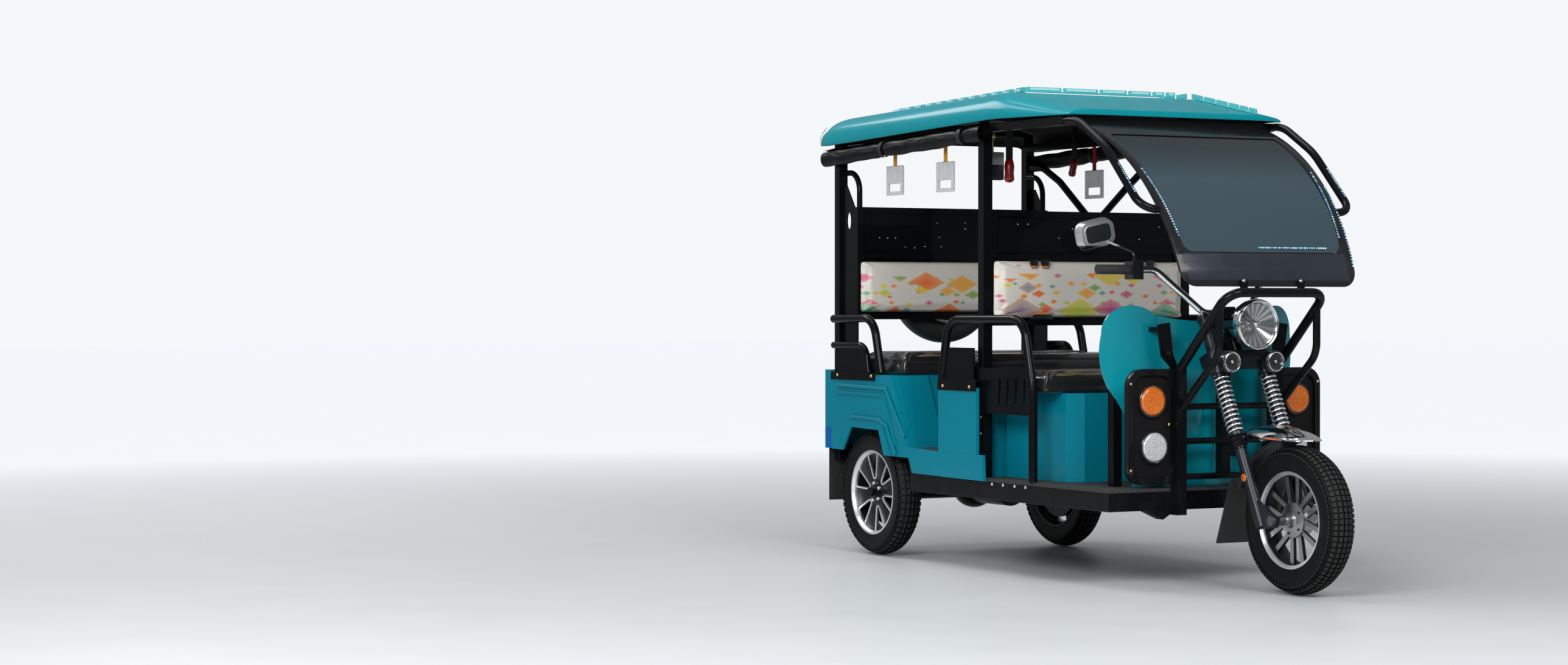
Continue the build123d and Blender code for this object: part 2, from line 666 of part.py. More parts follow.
leaf_thickness = 7
leaf_half_lengths = (285, 230, 170, 110)
spring_sag = 36
spring_bottom = rear_tyre_radius + axle_radius + seam
main_leaf_top = spring_bottom + leaf_thickness * len(leaf_half_lengths)
spring_radius = (leaf_half_lengths[0]**2 + spring_sag**2) / (2 * spring_sag)
with BuildPart() as leaf_springs:
    for sign in (-1, 1):
        for number, half_length in enumerate(leaf_half_lengths):
            with BuildSketch(Plane.YZ.offset(sign * rail_x - spring_width / 2)):
                with Locations((rear_axle_y, main_leaf_top + spring_radius)):
                    Circle(spring_radius + leaf_thickness * (number + 1))
                    Circle(spring_radius + leaf_thickness * number, mode=Mode.SUBTRACT)
                with Locations((rear_axle_y, spring_bottom + 50)):
                    Rectangle(2 * half_length, 100, mode=Mode.INTERSECT)
            extrude(amount=spring_width)
        for end in (-1, 1):
            eye_y = rear_axle_y + end * leaf_half_lengths[0]
            eye_z = main_leaf_top + spring_sag - leaf_thickness / 2
            with BuildSketch(Plane.YZ.offset(sign * rail_x - spring_width / 2)):
                with Locations((eye_y, eye_z)):
                    Circle(12)
            extrude(amount=spring_width)
            block(span(sign * rail_x, spring_width), span(eye_y, 16), (eye_z, rail_top - rail_height - seam))
finish("leaf_springs", leaf_springs.part)

# Mud flaps behind the rear wheels, on the rear cross member
flap_thickness = 5
flap_bottom = 196
flap_width = 110
with BuildPart() as rear_mud_flaps:
    for sign in (-1, 1):
        outer = sign * frame_half_width
        block((outer - sign * flap_width, outer), (rear_frame_y + seam, rear_frame_y + seam + flap_thickness),
              (flap_bottom, rear_panel_bottom - seam))
finish("rear_mud_flaps", rear_mud_flaps.part)

# Tail lamps
tail_lamp_depth = 22
tail_lamp_width = 110
tail_lamp_z = (565, 635)
with BuildPart() as tail_lamps:
    for sign in (-1, 1):
        block(span(sign * (frame_half_width - 80), tail_lamp_width),
              (body_rear_y, body_rear_y + tail_lamp_depth), tail_lamp_z)
finish("tail_lamps", tail_lamps.part)

# Front guard: two posts, three cross bars, a forward hoop with braces, and the neck to the head tube
bar_diameter = 22
brace_diameter = 26
neck_size = 36
neck_front = post_y + 5
head_centre = fork_plane.from_local_coords((0, 0, (head_tube_bottom + head_tube_top) / 2))
tab_width = 30
tab_x = 120
tab_y = screen_y(screen_bottom[1], screen_frame_thickness) - seam
with BuildPart() as front_guard:
    for sign in (-1, 1):
        block(span(sign * post_x, post_size), (front_beam_y - post_size, front_beam_y),
              (post_bottom, post_top))
    for z in (620, 502, 380):
        add(straight_bar((-post_x, post_y, z), (post_x, post_y, z), bar_diameter))
    add(swept_tube([(-post_x, post_y, post_top - 10), (-post_x, hoop_y, hoop_z), (post_x, hoop_y, hoop_z),
                    (post_x, post_y, post_top - 10)], 60, guard_tube))
    for sign in (-1, 1):
        add(swept_tube([(sign * post_x, hoop_y + 50, hoop_z - 55), (sign * post_x, hoop_y + 50, 800),
                        (sign * post_x, post_y, 600)], 90, brace_diameter))
        # tab from the hoop up to the windscreen
        tab = span(sign * tab_x, tab_width)
        block(tab, (hoop_y, tab_y), span(hoop_z, 8))
        block(tab, (tab_y - 4, tab_y), (hoop_z - 4, screen_bottom[1] + 20))
    block(span(0, neck_size), (neck_front, neck_front + neck_size), (beam_top + 40, head_centre.Z + 18))
    block(span(0, neck_size), (head_centre.Y, neck_front + neck_size), span(head_centre.Z, neck_size))
    with BuildSketch(fork_plane.offset(head_tube_bottom)):
        Circle(head_tube_diameter / 2)
    extrude(amount=head_tube_top - head_tube_bottom)
    with BuildSketch(fork_plane.offset(head_tube_bottom)):
        Circle(stem_diameter / 2 + running_fit)
    extrude(amount=head_tube_top - head_tube_bottom, mode=Mode.SUBTRACT)
finish("front_guard", front_guard.part)

# Front shield: a curved sheet with two raised lobes
shield_centre_y = -622
shield_edge_y = -520
shield_half_width = frame_half_width - 70
shield_foot = shield_half_width - 105
shield_sheet = 4
shield_bow = shield_edge_y - shield_centre_y
shield_radius = (shield_half_width**2 + shield_bow**2) / (2 * shield_bow)
shield_foot_outline = ((0, floor_z), (shield_foot, floor_z), (shield_foot, 500))
shield_arcs = (((shield_half_width - 82, 580), (shield_half_width - 26, 680)),
               ((shield_half_width, 785), (shield_half_width - 6, 868)),
               ((shield_half_width - 32, 938), (shield_half_width - 90, 966)),
               ((shield_half_width - 150, 955), (230, 933)),
               ((120, 916), (0, 912)))
with BuildPart() as front_shield:
    with BuildSketch(Plane.XY.offset(floor_z)):
        with Locations((0, shield_centre_y + shield_radius)):
            Circle(shield_radius)
            Circle(shield_radius - shield_sheet, mode=Mode.SUBTRACT)
    extrude(amount=640)
    with BuildSketch(Plane.XZ.offset(-shield_edge_y - 5)):
        with BuildLine():
            for sign in (-1, 1):
                Polyline(*[(sign * x, z) for x, z in shield_foot_outline])
                corner = shield_foot_outline[-1]
                for middle, far in shield_arcs:
                    ThreePointArc(*[(sign * x, z) for x, z in (corner, middle, far)])
                    corner = far
        make_face()
    extrude(amount=200, both=True, mode=Mode.INTERSECT)
    split(bisect_by=Plane.XZ.offset(-(shield_edge_y + 40)), keep=Keep.TOP)
finish("front_shield", front_shield.part)

# Posts behind the shield, close to its rear face, and struts from the guard's posts to its front
column_x = shield_half_width - 63
column_top = 760
column_size = 36
column_edge = column_x + column_size / 2
column_reach = sqrt((shield_radius - shield_sheet) ** 2 - column_edge**2)
column_front = shield_centre_y + shield_radius - column_reach + seam
strut_sheet = 8
strut_lug = 16
strut_head = (post_x + 43, 885)
strut_outline = ((post_x - 15, post_top - 60), (post_x + 17, post_top - 60), (post_x + 17, post_top + 4),
                 (post_x + 57, post_top + 42), (post_x + 73, 902), (post_x + 21, 908),
                 (post_x + 7, post_top + 50), (post_x - 15, post_top + 2))
strut_reach = strut_head[0] - strut_lug / 2
strut_lug_end = shield_centre_y + shield_radius - sqrt(shield_radius**2 - strut_reach**2) - seam
with BuildPart() as shield_columns:
    for sign in (-1, 1):
        block(span(sign * column_x, column_size), (column_front, column_front + column_size),
              (floor_z, column_top))
        with BuildSketch(Plane.XZ.offset(-(front_beam_y + seam + strut_sheet))):
            with BuildLine():
                Polyline(*[(sign * x, z) for x, z in strut_outline], close=True)
            make_face()
        extrude(amount=strut_sheet)
        block(span(sign * strut_head[0], strut_lug), (front_beam_y + seam, strut_lug_end),
              span(strut_head[1], strut_lug))
finish("shield_columns", shield_columns.part)

# Lamp panels outside the posts: a plate with a raised rim
panel_y = front_beam_y + 10
panel_in = post_x + post_size / 2
lamp_panel_width = frame_half_width - 71 - panel_in
lamp_panel_height = 396
lamp_panel_z = 552
lamp_panel_plate = 10
lamp_panel_rim = 14
with BuildPart() as lamp_panels:
    for sign in (-1, 1):
        for offset, depth in ((0, lamp_panel_plate), (lamp_panel_plate, lamp_panel_rim)):
            with BuildSketch(Plane.XZ.offset(-panel_y + offset)):
                with Locations((sign * (panel_in + lamp_panel_width / 2), lamp_panel_z)):
                    RectangleRounded(lamp_panel_width, lamp_panel_height, 60)
                with Locations((sign * (panel_in + 31), lamp_panel_z)):
                    Rectangle(62, lamp_panel_height)
                if offset:
                    with Locations((sign * (panel_in + lamp_panel_width / 2 - 11), lamp_panel_z)):
                        RectangleRounded(lamp_panel_width - 22, lamp_panel_height - 44, 45,
                                         mode=Mode.SUBTRACT)
            extrude(amount=depth)
finish("lamp_panels", lamp_panels.part)

# Round lamps on the panels: name, x, z
lamp_radius = 50
lamp_depth = 22
for name, x, z in (("turn_lamps", panel_in + lamp_panel_width / 2 - 9, 640),
                   ("marker_lamps", panel_in + lamp_panel_width / 2 - 17, 483)):
    with BuildPart() as lamp:
        for sign in (-1, 1):
            with BuildSketch(Plane.XZ.offset(-panel_y + lamp_panel_plate + seam)):
                with Locations((sign * x, z)):
                    Circle(lamp_radius)
            extrude(amount=lamp_depth)
        fillet(lamp.edges().group_by(Axis.Y)[0], 10)
    finish(name, lamp.part)

# Windscreen: one curved sheet, a frame with a pane in it
screen_half = pillar_x - 49
screen_shoulder_z = 1300
window_top = 1560
window_bottom = 1146
screen_edge = 38
screen_corner = 62
window_corner = 34
screen_outline = ((screen_half, screen_top[1]), (screen_half - 12, screen_shoulder_z),
                  (screen_half - 26, screen_bottom[1]))
window_outline = ((screen_half - screen_edge, window_top), (screen_half - 45, screen_shoulder_z),
                  (screen_half - 60, window_bottom))


def curved_sheet(thickness):
    """The windscreen's curve as a wide sheet."""
    with BuildPart() as sheet_body:
        with BuildSketch(Plane.YZ.offset(-450)):
            with Locations((screen_centre.X, screen_centre.Y)):
                Circle(screen_radius + thickness / 2)
                Circle(screen_radius - thickness / 2, mode=Mode.SUBTRACT)
        extrude(amount=900)
    return sheet_body.part


def prism_corners(outline):
    """The two lowest corners of an outline."""
    return outline.vertices().sort_by(Axis.Y)[:2]


def screen_prism(half_outline, corner):
    """A front-view outline with two rounded lower corners, deep enough to cut the whole sheet."""
    with BuildPart() as prism:
        with BuildSketch(Plane.XZ.offset(200)):
            with BuildLine():
                Polyline(*half_outline, *[(-x, z) for x, z in reversed(half_outline)], close=True)
            outline = make_face()
            fillet(prism_corners(outline), corner)
        extrude(amount=900)
    return prism.part


frame_sheet = curved_sheet(screen_frame_thickness)
glass_sheet = curved_sheet(screen_glass_thickness)
screen_body = screen_prism(screen_outline, screen_corner)
window_body = screen_prism(window_outline, window_corner)
glass_body = screen_prism([(x - seam, z + seam if z == window_bottom else z - seam)
                           for x, z in window_outline], window_corner - seam)
with BuildPart() as windscreen_frame:
    add(frame_sheet)
    add(screen_body, mode=Mode.INTERSECT)
    add(window_body, mode=Mode.SUBTRACT)
finish("windscreen_frame", windscreen_frame.part)
with BuildPart() as windscreen_glass:
    add(glass_sheet)
    add(glass_body, mode=Mode.INTERSECT)
finish("windscreen_glass", windscreen_glass.part)

# Bent visor tubes from the roof rails' front ends to the sides of the windscreen
wing_tube = 22
wing_x = pillar_outer_x - 13
wing_foot_z = screen_shoulder_z - 10
wing_run = 68
wing_knee_y = -605
wing_knee_z = 1508
wing_foot_y = screen_y(wing_foot_z, 0)
wing_head_z = (roof_rail_bottom + roof_rail_top) / 2
with BuildPart() as windscreen_wings:
    for sign in (-1, 1):
        x = sign * wing_x
        add(swept_tube([(x, front_bar_y - seam, wing_head_z), (x, front_bar_y - wing_run, wing_head_z),
                        (x, wing_knee_y, wing_knee_z), (x, wing_foot_y, wing_foot_z),
                        (sign * (screen_half - 11), wing_foot_y, wing_foot_z)], [170, 300, 60], wing_tube))
finish("windscreen_wings", windscreen_wings.part)

# Fork: stem, clamps, legs, the bar's clamp, and feet that hold the axle ahead of the legs
lower_clamp_top = head_tube_bottom - clamp_gap
upper_clamp_bottom = head_tube_top + clamp_gap
clamp_thickness = 36
clamp_depth = 84
upper_clamp_thickness = 14
upper_clamp_top = upper_clamp_bottom + upper_clamp_thickness
leg_diameter = 40
upper_leg_diameter = 44
upper_leg_start = 520
spring_start = 312
spring_length = 215
spring_outer_radius = 30
bar_radius = 12
bar_height = upper_clamp_top + 16
foot_thickness = 16
front_axle_radius = 10
foot_inner_x = leg_spread - foot_thickness / 2
foot_outer_x = leg_spread + foot_thickness / 2
axle_local = fork_plane.to_local_coords(Vector(0, front_axle_y, front_tyre_radius))
with BuildPart() as fork:
    # along the steering axis: start, end, width, depth, corner radius
    for start, end, width, depth, corner in (
        (lower_clamp_top - clamp_thickness, lower_clamp_top, 2 * leg_spread + 90, clamp_depth, 20),
        (upper_clamp_bottom, upper_clamp_top, 2 * leg_spread + 48, 48, 20),
        (upper_clamp_top, bar_height + 16, 64, 36, 4),
    ):
        with BuildSketch(fork_plane.offset(start)):
            RectangleRounded(width, depth, corner)
        extrude(amount=end - start)
    with BuildSketch(fork_plane.offset(lower_clamp_top - clamp_thickness)):
        Circle(stem_diameter / 2)
    extrude(amount=upper_clamp_top - lower_clamp_top + clamp_thickness)
    # legs and their spring seats: start, end, radius
    for start, end, radius in (
        (-30, upper_leg_start + 10, leg_diameter / 2),
        (upper_leg_start, upper_clamp_top + 3, upper_leg_diameter / 2),
        (spring_start - 12, spring_start - seam, spring_outer_radius),
        (spring_start + spring_length + seam, spring_start + spring_length + 12, spring_outer_radius),
    ):
        with BuildSketch(fork_plane.offset(start)):
            with Locations((-leg_spread, 0), (leg_spread, 0)):
                Circle(radius)
        extrude(amount=end - start)
    for sign in (-1, 1):
        foot_start = fork_plane.from_local_coords((sign * leg_spread - foot_thickness / 2, 0, 0))
        foot_plane = Plane(origin=foot_start, x_dir=fork_plane.y_dir, z_dir=(1, 0, 0))
        with BuildSketch(foot_plane):
            with BuildLine():
                Polyline((18, 60), (18, -30), (axle_local.Y, axle_local.Z - 24),
                         (axle_local.Y - 22, axle_local.Z), (axle_local.Y, axle_local.Z + 24),
                         (-18, 60), close=True)
            make_face()
            with Locations((axle_local.Y, axle_local.Z)):
                Circle(front_axle_radius + running_fit, mode=Mode.SUBTRACT)
        extrude(amount=foot_thickness)
    # bore for the handlebar
    with BuildSketch(Plane(origin=fork_plane.from_local_coords((-40, 0, bar_height)), z_dir=(1, 0, 0))):
        Circle(bar_radius + running_fit)
    extrude(amount=80, mode=Mode.SUBTRACT)
finish("fork", fork.part)

# Springs round the legs, each a sleeve with a rounded ridge for every turn
spring_turns = 15
spring_pitch = spring_length / spring_turns
spring_groove = spring_outer_radius - 5
spring_bore = upper_leg_diameter / 2 + seam
spring_ridge = ((0.0, 0), (0.09, 3.6), (0.24, 5), (0.39, 3.6), (0.48, 0))
with BuildPart() as fork_springs:
    for sign in (-1, 1):
        foot = fork_plane.from_local_coords((sign * leg_spread, 0, spring_start))
        with BuildSketch(Plane(origin=foot, x_dir=(1, 0, 0), z_dir=-fork_plane.y_dir)):
            with BuildLine():
                Polyline((spring_bore, 0),
                         *[(spring_groove + rise, spring_pitch * (turn + share))
                           for turn in range(spring_turns) for share, rise in spring_ridge],
                         (spring_groove, spring_length), (spring_bore, spring_length), close=True)
            make_face()
        revolve(axis=Axis(foot, fork_plane.z_dir))
finish("fork_springs", fork_springs.part)

# Headlamp bucket and lens, with an ear to each leg
lamp_y = -869
lamp_z = 902
headlamp_radius = 86
bezel_radius = headlamp_radius - 10
bezel_rise = 5
reflector_radius = bezel_radius - 6
lens_seat = 6
lens_bulge = 12
lens_thickness = 3
ear_thickness = 6
ear_x = headlamp_radius - ear_thickness
ear_gap = sqrt((upper_leg_diameter / 2) ** 2 - (leg_spread - headlamp_radius) ** 2) + seam
ear_low = fork_plane.from_local_coords((0, -ear_gap, head_tube_top - 38))
ear_high = fork_plane.from_local_coords((0, -ear_gap, head_tube_top - 8))
with BuildPart() as headlamp:
    with BuildSketch(Plane.YZ):
        with BuildLine():
            Polyline((lamp_y + 34, lamp_z), (lamp_y + lens_seat, lamp_z + reflector_radius),
                     (lamp_y + lens_seat, lamp_z + bezel_radius), (lamp_y, lamp_z + bezel_radius),
                     (lamp_y - bezel_rise, lamp_z + bezel_radius + 4), (lamp_y, lamp_z + headlamp_radius),
                     (lamp_y + 28, lamp_z + headlamp_radius), (lamp_y + 60, lamp_z + headlamp_radius - 12),
                     (lamp_y + 104, lamp_z + headlamp_radius / 2), (lamp_y + 116, lamp_z), close=True)
        make_face()
    revolve(axis=Axis((0, lamp_y, lamp_z), (0, 1, 0)))
    for sign in (-1, 1):
        add(side_plate(((lamp_y + 9, lamp_z - 15), (ear_low.Y, ear_low.Z), (ear_high.Y, ear_high.Z),
                        (lamp_y + 9, lamp_z + 15)), ear_x, ear_thickness, sign))
finish("headlamp", headlamp.part)
lens_radius = bezel_radius - seam
lens_back = lamp_y + lens_seat - seam
lens_dome = ((1, 0), (0.8, 0.36), (0.55, 0.7), (0.3, 0.91), (0, 0.91))
with BuildPart() as headlamp_lens:
    with BuildSketch(Plane.YZ):
        with BuildLine():
            Polyline(*[(lens_back - rise * lens_bulge, lamp_z + share * lens_radius)
                       for share, rise in lens_dome],
                     *[(lens_back - lens_thickness - rise * lens_bulge, lamp_z + share * lens_radius)
                       for share, rise in reversed(lens_dome)], close=True)
        make_face()
    revolve(axis=Axis((0, lamp_y, lamp_z), (0, 1, 0)))
finish("headlamp_lens", headlamp_lens.part)

# Horns on short bosses ahead of the lower clamp
horn_x = 92
horn_z = 775
horn_radius = 38
horn_depth = 26
horn_boss_radius = 8
boss_point = fork_plane.from_local_coords((0, -clamp_depth / 2, lower_clamp_top - clamp_thickness))
horn_rear_y = boss_point.Y - 9
with BuildPart() as horns:
    for sign in (-1, 1):
        with BuildSketch(Plane.XZ.offset(-horn_rear_y)):
            with Locations((sign * horn_x, horn_z)):
                Circle(horn_radius)
        extrude(amount=horn_depth)
        with BuildSketch(Plane.XZ.offset(-(boss_point.Y - seam))):
            with Locations((sign * horn_x, boss_point.Z + 3)):
                Circle(horn_boss_radius)
        extrude(amount=boss_point.Y - horn_rear_y)
finish("horns", horns.part)

# Handlebar, held in the fork's clamp, level at the grips
bar_centre = fork_plane.from_local_coords((0, 0, bar_height))
grip_y = -600
grip_z = 1090
grip_end = 476
grip_length = 130
grip_radius = 17
grip_cap = 6
bar_end = grip_end - grip_cap - seam
with BuildPart() as handlebar:
    add(swept_tube([(-bar_end, grip_y, grip_z), (-235, grip_y, grip_z), (-95, bar_centre.Y, bar_centre.Z),
                    (95, bar_centre.Y, bar_centre.Z), (235, grip_y, grip_z), (bar_end, grip_y, grip_z)],
                   [50, 40, 40, 50], 2 * bar_radius))
finish("handlebar", handlebar.part)

with BuildPart() as grips:
    for sign in (-1, 1):
        for start, length, radius, mode in (
            (grip_end - grip_length, grip_length, grip_radius, Mode.ADD),
            (grip_end - grip_length, grip_length - grip_cap, bar_radius + seam, Mode.SUBTRACT),
        ):
            with BuildSketch(Plane.YZ.offset(sign * start)):
                with Locations((grip_y, grip_z)):
                    Circle(radius)
            extrude(amount=sign * length, mode=mode)
finish("grips", grips.part)

# Switch housings inside the grips
housing_width = 44
housing_x = grip_end - grip_length - seam - housing_width / 2
housing_top = grip_z + 28
with BuildPart() as bar_controls:
    for sign in (-1, 1):
        block(span(sign * housing_x, housing_width), span(grip_y, 50), (grip_z - 34, housing_top))
        with BuildSketch(Plane.YZ.offset(sign * (housing_x - housing_width / 2))):
            with Locations((grip_y, grip_z)):
                Circle(bar_radius + seam)
        extrude(amount=sign * housing_width, mode=Mode.SUBTRACT)
finish("bar_controls", bar_controls.part)

# Mirrors on thin stems that stand on the switch housings
mirror_x = 398
mirror_tilt = 12
mirror_y = -470
mirror_z = 1215
mirror_width = 150
mirror_height = 100
stem_x = housing_x
with BuildPart() as mirrors:
    for sign in (-1, 1):
        with BuildSketch(Plane.XZ.offset(-mirror_y)):
            with Locations((sign * mirror_x, mirror_z)):
                RectangleRounded(mirror_width, mirror_height, 36, rotation=-sign * mirror_tilt)
        extrude(amount=24, taper=18)
        with BuildSketch(Plane.XZ.offset(-mirror_y)):
            with Locations((sign * mirror_x, mirror_z)):
                RectangleRounded(mirror_width, mirror_height, 36, rotation=-sign * mirror_tilt)
        extrude(amount=-10)
        add(swept_tube([(sign * stem_x, grip_y, housing_top + seam),
                        (sign * stem_x, grip_y, housing_top + 30),
                        (sign * (mirror_x - 30), mirror_y - 5, mirror_z - 20)], 20, 8))
finish("mirrors", mirrors.part)

# Front fender, carried on lugs between the legs, and its flap
fender_inner = front_tyre_radius + 41
fender_sheet = 4
fender_half_width = 66
fender_fall = 28
fender_nose_y = front_axle_y - 8
fender_nose = 78
fender_end = 20
fender_front = 112
lug_height = 225
lug_centre = fork_plane.from_local_coords((0, 0, lug_height))
with BuildPart() as front_fender:
    with BuildSketch(Plane(origin=(0, front_axle_y, front_tyre_radius), x_dir=(1, 0, 0), z_dir=(0, -1, 0))):
        with BuildLine():
            skirt = fender_inner - fender_fall
            ThreePointArc((-fender_half_width, skirt), (0, fender_inner + fender_sheet),
                          (fender_half_width, skirt))
            ThreePointArc((fender_sheet - fender_half_width, skirt), (0, fender_inner),
                          (fender_half_width - fender_sheet, skirt))
            for sign in (-1, 1):
                Line((sign * fender_half_width, skirt), (sign * (fender_half_width - fender_sheet), skirt))
        make_face()
    revolve(axis=Axis((0, front_axle_y, front_tyre_radius), (1, 0, 0)))
    with BuildSketch(Plane.YZ.offset(-fender_half_width)):
        with BuildLine():
            Polyline((front_axle_y, front_tyre_radius),
                     *[(front_axle_y + 2 * fender_inner * cos(radians(angle)),
                        front_tyre_radius + 2 * fender_inner * sin(radians(angle)))
                       for angle in (fender_front, (fender_front + fender_end) / 2, fender_end)],
                     close=True)
        make_face()
    extrude(amount=2 * fender_half_width, mode=Mode.INTERSECT)
    with BuildSketch(Plane.XY.offset(front_tyre_radius)):
        with Locations((0, fender_nose_y)):
            Ellipse(fender_half_width, fender_nose)
        with Locations((0, fender_nose_y + fender_inner)):
            Rectangle(2 * fender_half_width, 2 * fender_inner)
    extrude(amount=2 * fender_inner, mode=Mode.INTERSECT)
    for sign in (-1, 1):
        block((sign * (fender_half_width - 4), sign * (leg_spread - leg_diameter / 2 - seam)),
              span(lug_centre.Y, 30), span(lug_centre.Z, 12))
finish("front_fender", front_fender.part)

mud_flap_length = 215
mud_flap_lap = 22
mud_flap_thickness = 6
outward = Vector(0, cos(radians(fender_end)), sin(radians(fender_end)))
downward = Vector(0, sin(radians(fender_end)), -cos(radians(fender_end)))
flap_top = (Vector(0, front_axle_y, front_tyre_radius) + outward * (fender_inner + fender_sheet + seam)
            - downward * mud_flap_lap)
with BuildPart() as front_mud_flap:
    with BuildSketch(Plane.YZ.offset(-75)):
        with BuildLine():
            corners = (flap_top, flap_top + outward * mud_flap_thickness,
                       flap_top + outward * mud_flap_thickness + downward * (mud_flap_length + mud_flap_lap),
                       flap_top + downward * (mud_flap_length + mud_flap_lap))
            Polyline(*[(corner.Y, corner.Z) for corner in corners], close=True)
        make_face()
    extrude(amount=150)
finish("front_mud_flap", front_mud_flap.part)

# Wheels: the rim's barrel as (x, radius), from its middle out
bead_x = 36
rim_drop = 8
spoke_offset = 22
spoke_thickness = 12
hub_collar_radius = 22


def tyre_ring(radius):
    """A tyre as a turned ring: tread crown, shoulders, side walls and beads."""
    half = tyre_width / 2
    bulge = (rim_radius + radius) / 2 - 3
    with BuildPart() as ring:
        with BuildSketch(Plane.XZ):
            with BuildLine():
                rows = ((bead_x, rim_radius - rim_drop + seam), (bead_x + 1, rim_radius + 1),
                        (half - 6, radius - 17))
                right = [(x, z) for x, z in rows]
                left = [(-x, z) for x, z in rows]
                Polyline(left[1], left[0], right[0], right[1])
                ThreePointArc(right[1], (half, bulge), right[2])
                ThreePointArc(right[2], (0, radius), left[2])
                ThreePointArc(left[2], (-half, bulge), left[1])
            make_face()
        revolve(axis=Axis.X)
    return ring.part


def spoked_rim(hub_radius, hub_half_width, bore_radius, outward_sign):
    """A rim with two lips, six twin spokes and a bored hub."""
    lip = rim_width / 2
    rows = ((lip, rim_radius - 16), (lip, rim_radius), (lip - 4.5, rim_radius), (lip - 4.5, rim_radius - 10),
            (bead_x, rim_radius - rim_drop))
    with BuildPart() as rim:
        with BuildSketch(Plane.XZ):
            with BuildLine():
                Polyline(*rows, *[(-x, z) for x, z in reversed(rows)], close=True)
            make_face()
        revolve(axis=Axis.X)
        face = Plane(origin=(outward_sign * spoke_offset, 0, 0), x_dir=(0, 1, 0),
                     z_dir=(outward_sign, 0, 0))
        reach = rim_radius - 12
        with BuildSketch(face):
            Circle(hub_radius)
            with PolarLocations(0, 6):
                with BuildLine():
                    Polyline((20, 6), (reach, 30), (reach, 14), (20, -4), close=True)
                make_face()
                with BuildLine():
                    Polyline((20, -6), (reach, -30), (reach, -14), (20, 4), close=True)
                make_face()
        extrude(amount=-spoke_thickness)
        for radius, half in ((hub_radius - 12, spoke_offset + 6), (hub_collar_radius, hub_half_width)):
            with BuildSketch(Plane.YZ.offset(-half)):
                Circle(radius)
            extrude(amount=2 * half)
        with BuildSketch(Plane.YZ.offset(-hub_half_width)):
            Circle(bore_radius)
        extrude(amount=2 * hub_half_width, mode=Mode.SUBTRACT)
    return rim.part


# name, centre, tyre radius, hub radius, hub half width, shaft radius, side that the spokes face
front_hub_half_width = 66
wheels = (
    ("front", (0, front_axle_y, front_tyre_radius), front_tyre_radius, 58, front_hub_half_width,
     front_axle_radius, -1),
    ("rear_right", (-half_track, rear_axle_y, rear_tyre_radius), rear_tyre_radius, 52, rear_hub_half_width,
     shaft_radius, -1),
    ("rear_left", (half_track, rear_axle_y, rear_tyre_radius), rear_tyre_radius, 52, rear_hub_half_width,
     shaft_radius, 1),
)
for name, centre, radius, hub_radius, hub_half_width, shaft, outward_sign in wheels:
    with BuildPart() as tyre:
        with Locations(centre):
            add(tyre_ring(radius))
    finish(f"{name}_tyre", tyre.part)
    with BuildPart() as rim:
        with Locations(centre):
            add(spoked_rim(hub_radius, hub_half_width, shaft + running_fit, outward_sign))
    finish(f"{name}_rim", rim.part)

# Front axle pin between the fork feet, with a spacer at each side of the hub and a nut at each end
spacer_gap = 1
with BuildPart() as front_axle:
    with Locations((0, front_axle_y, front_tyre_radius)):
        add(turned_shaft((
            (front_hub_half_width + spacer_gap, front_axle_radius),
            (front_hub_half_width + spacer_gap, front_axle_radius + 6),
            (foot_inner_x - seam, front_axle_radius + 6), (foot_inner_x - seam, front_axle_radius),
            (foot_outer_x + seam, front_axle_radius), (foot_outer_x + seam, front_axle_radius + 7),
            (foot_outer_x + 12, front_axle_radius + 7), (foot_outer_x + 12, 0),
        )))
finish("front_axle", front_axle.part)

# Spare wheel behind the rear backrest, its boss against the bar
spare_y = rear_pillar_y - 55
spare_z = sum(spare_bar) / 2
with BuildPart() as spare_wheel:
    with Locations(Location((0, spare_y, spare_z), (0, 0, 90))):
        add(tyre_ring(rear_tyre_radius))
        add(spoked_rim(52, 20, shaft_radius, 1))
    with BuildSketch(Plane.XZ.offset(-spare_y)):
        with Locations((0, spare_z)):
            Circle(34)
    extrude(amount=-(rear_frame_y - spare_bar_depth - seam - spare_y))
finish("spare_wheel", spare_wheel.part)
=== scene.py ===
"""A three-wheeled electric passenger rickshaw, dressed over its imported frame. The front faces -Y.

Places and sizes are in metres. The profiles of turned pieces and the outlines of plates are in millimetres."""
import math

import bmesh
import bpy
from mathutils import Matrix, Vector


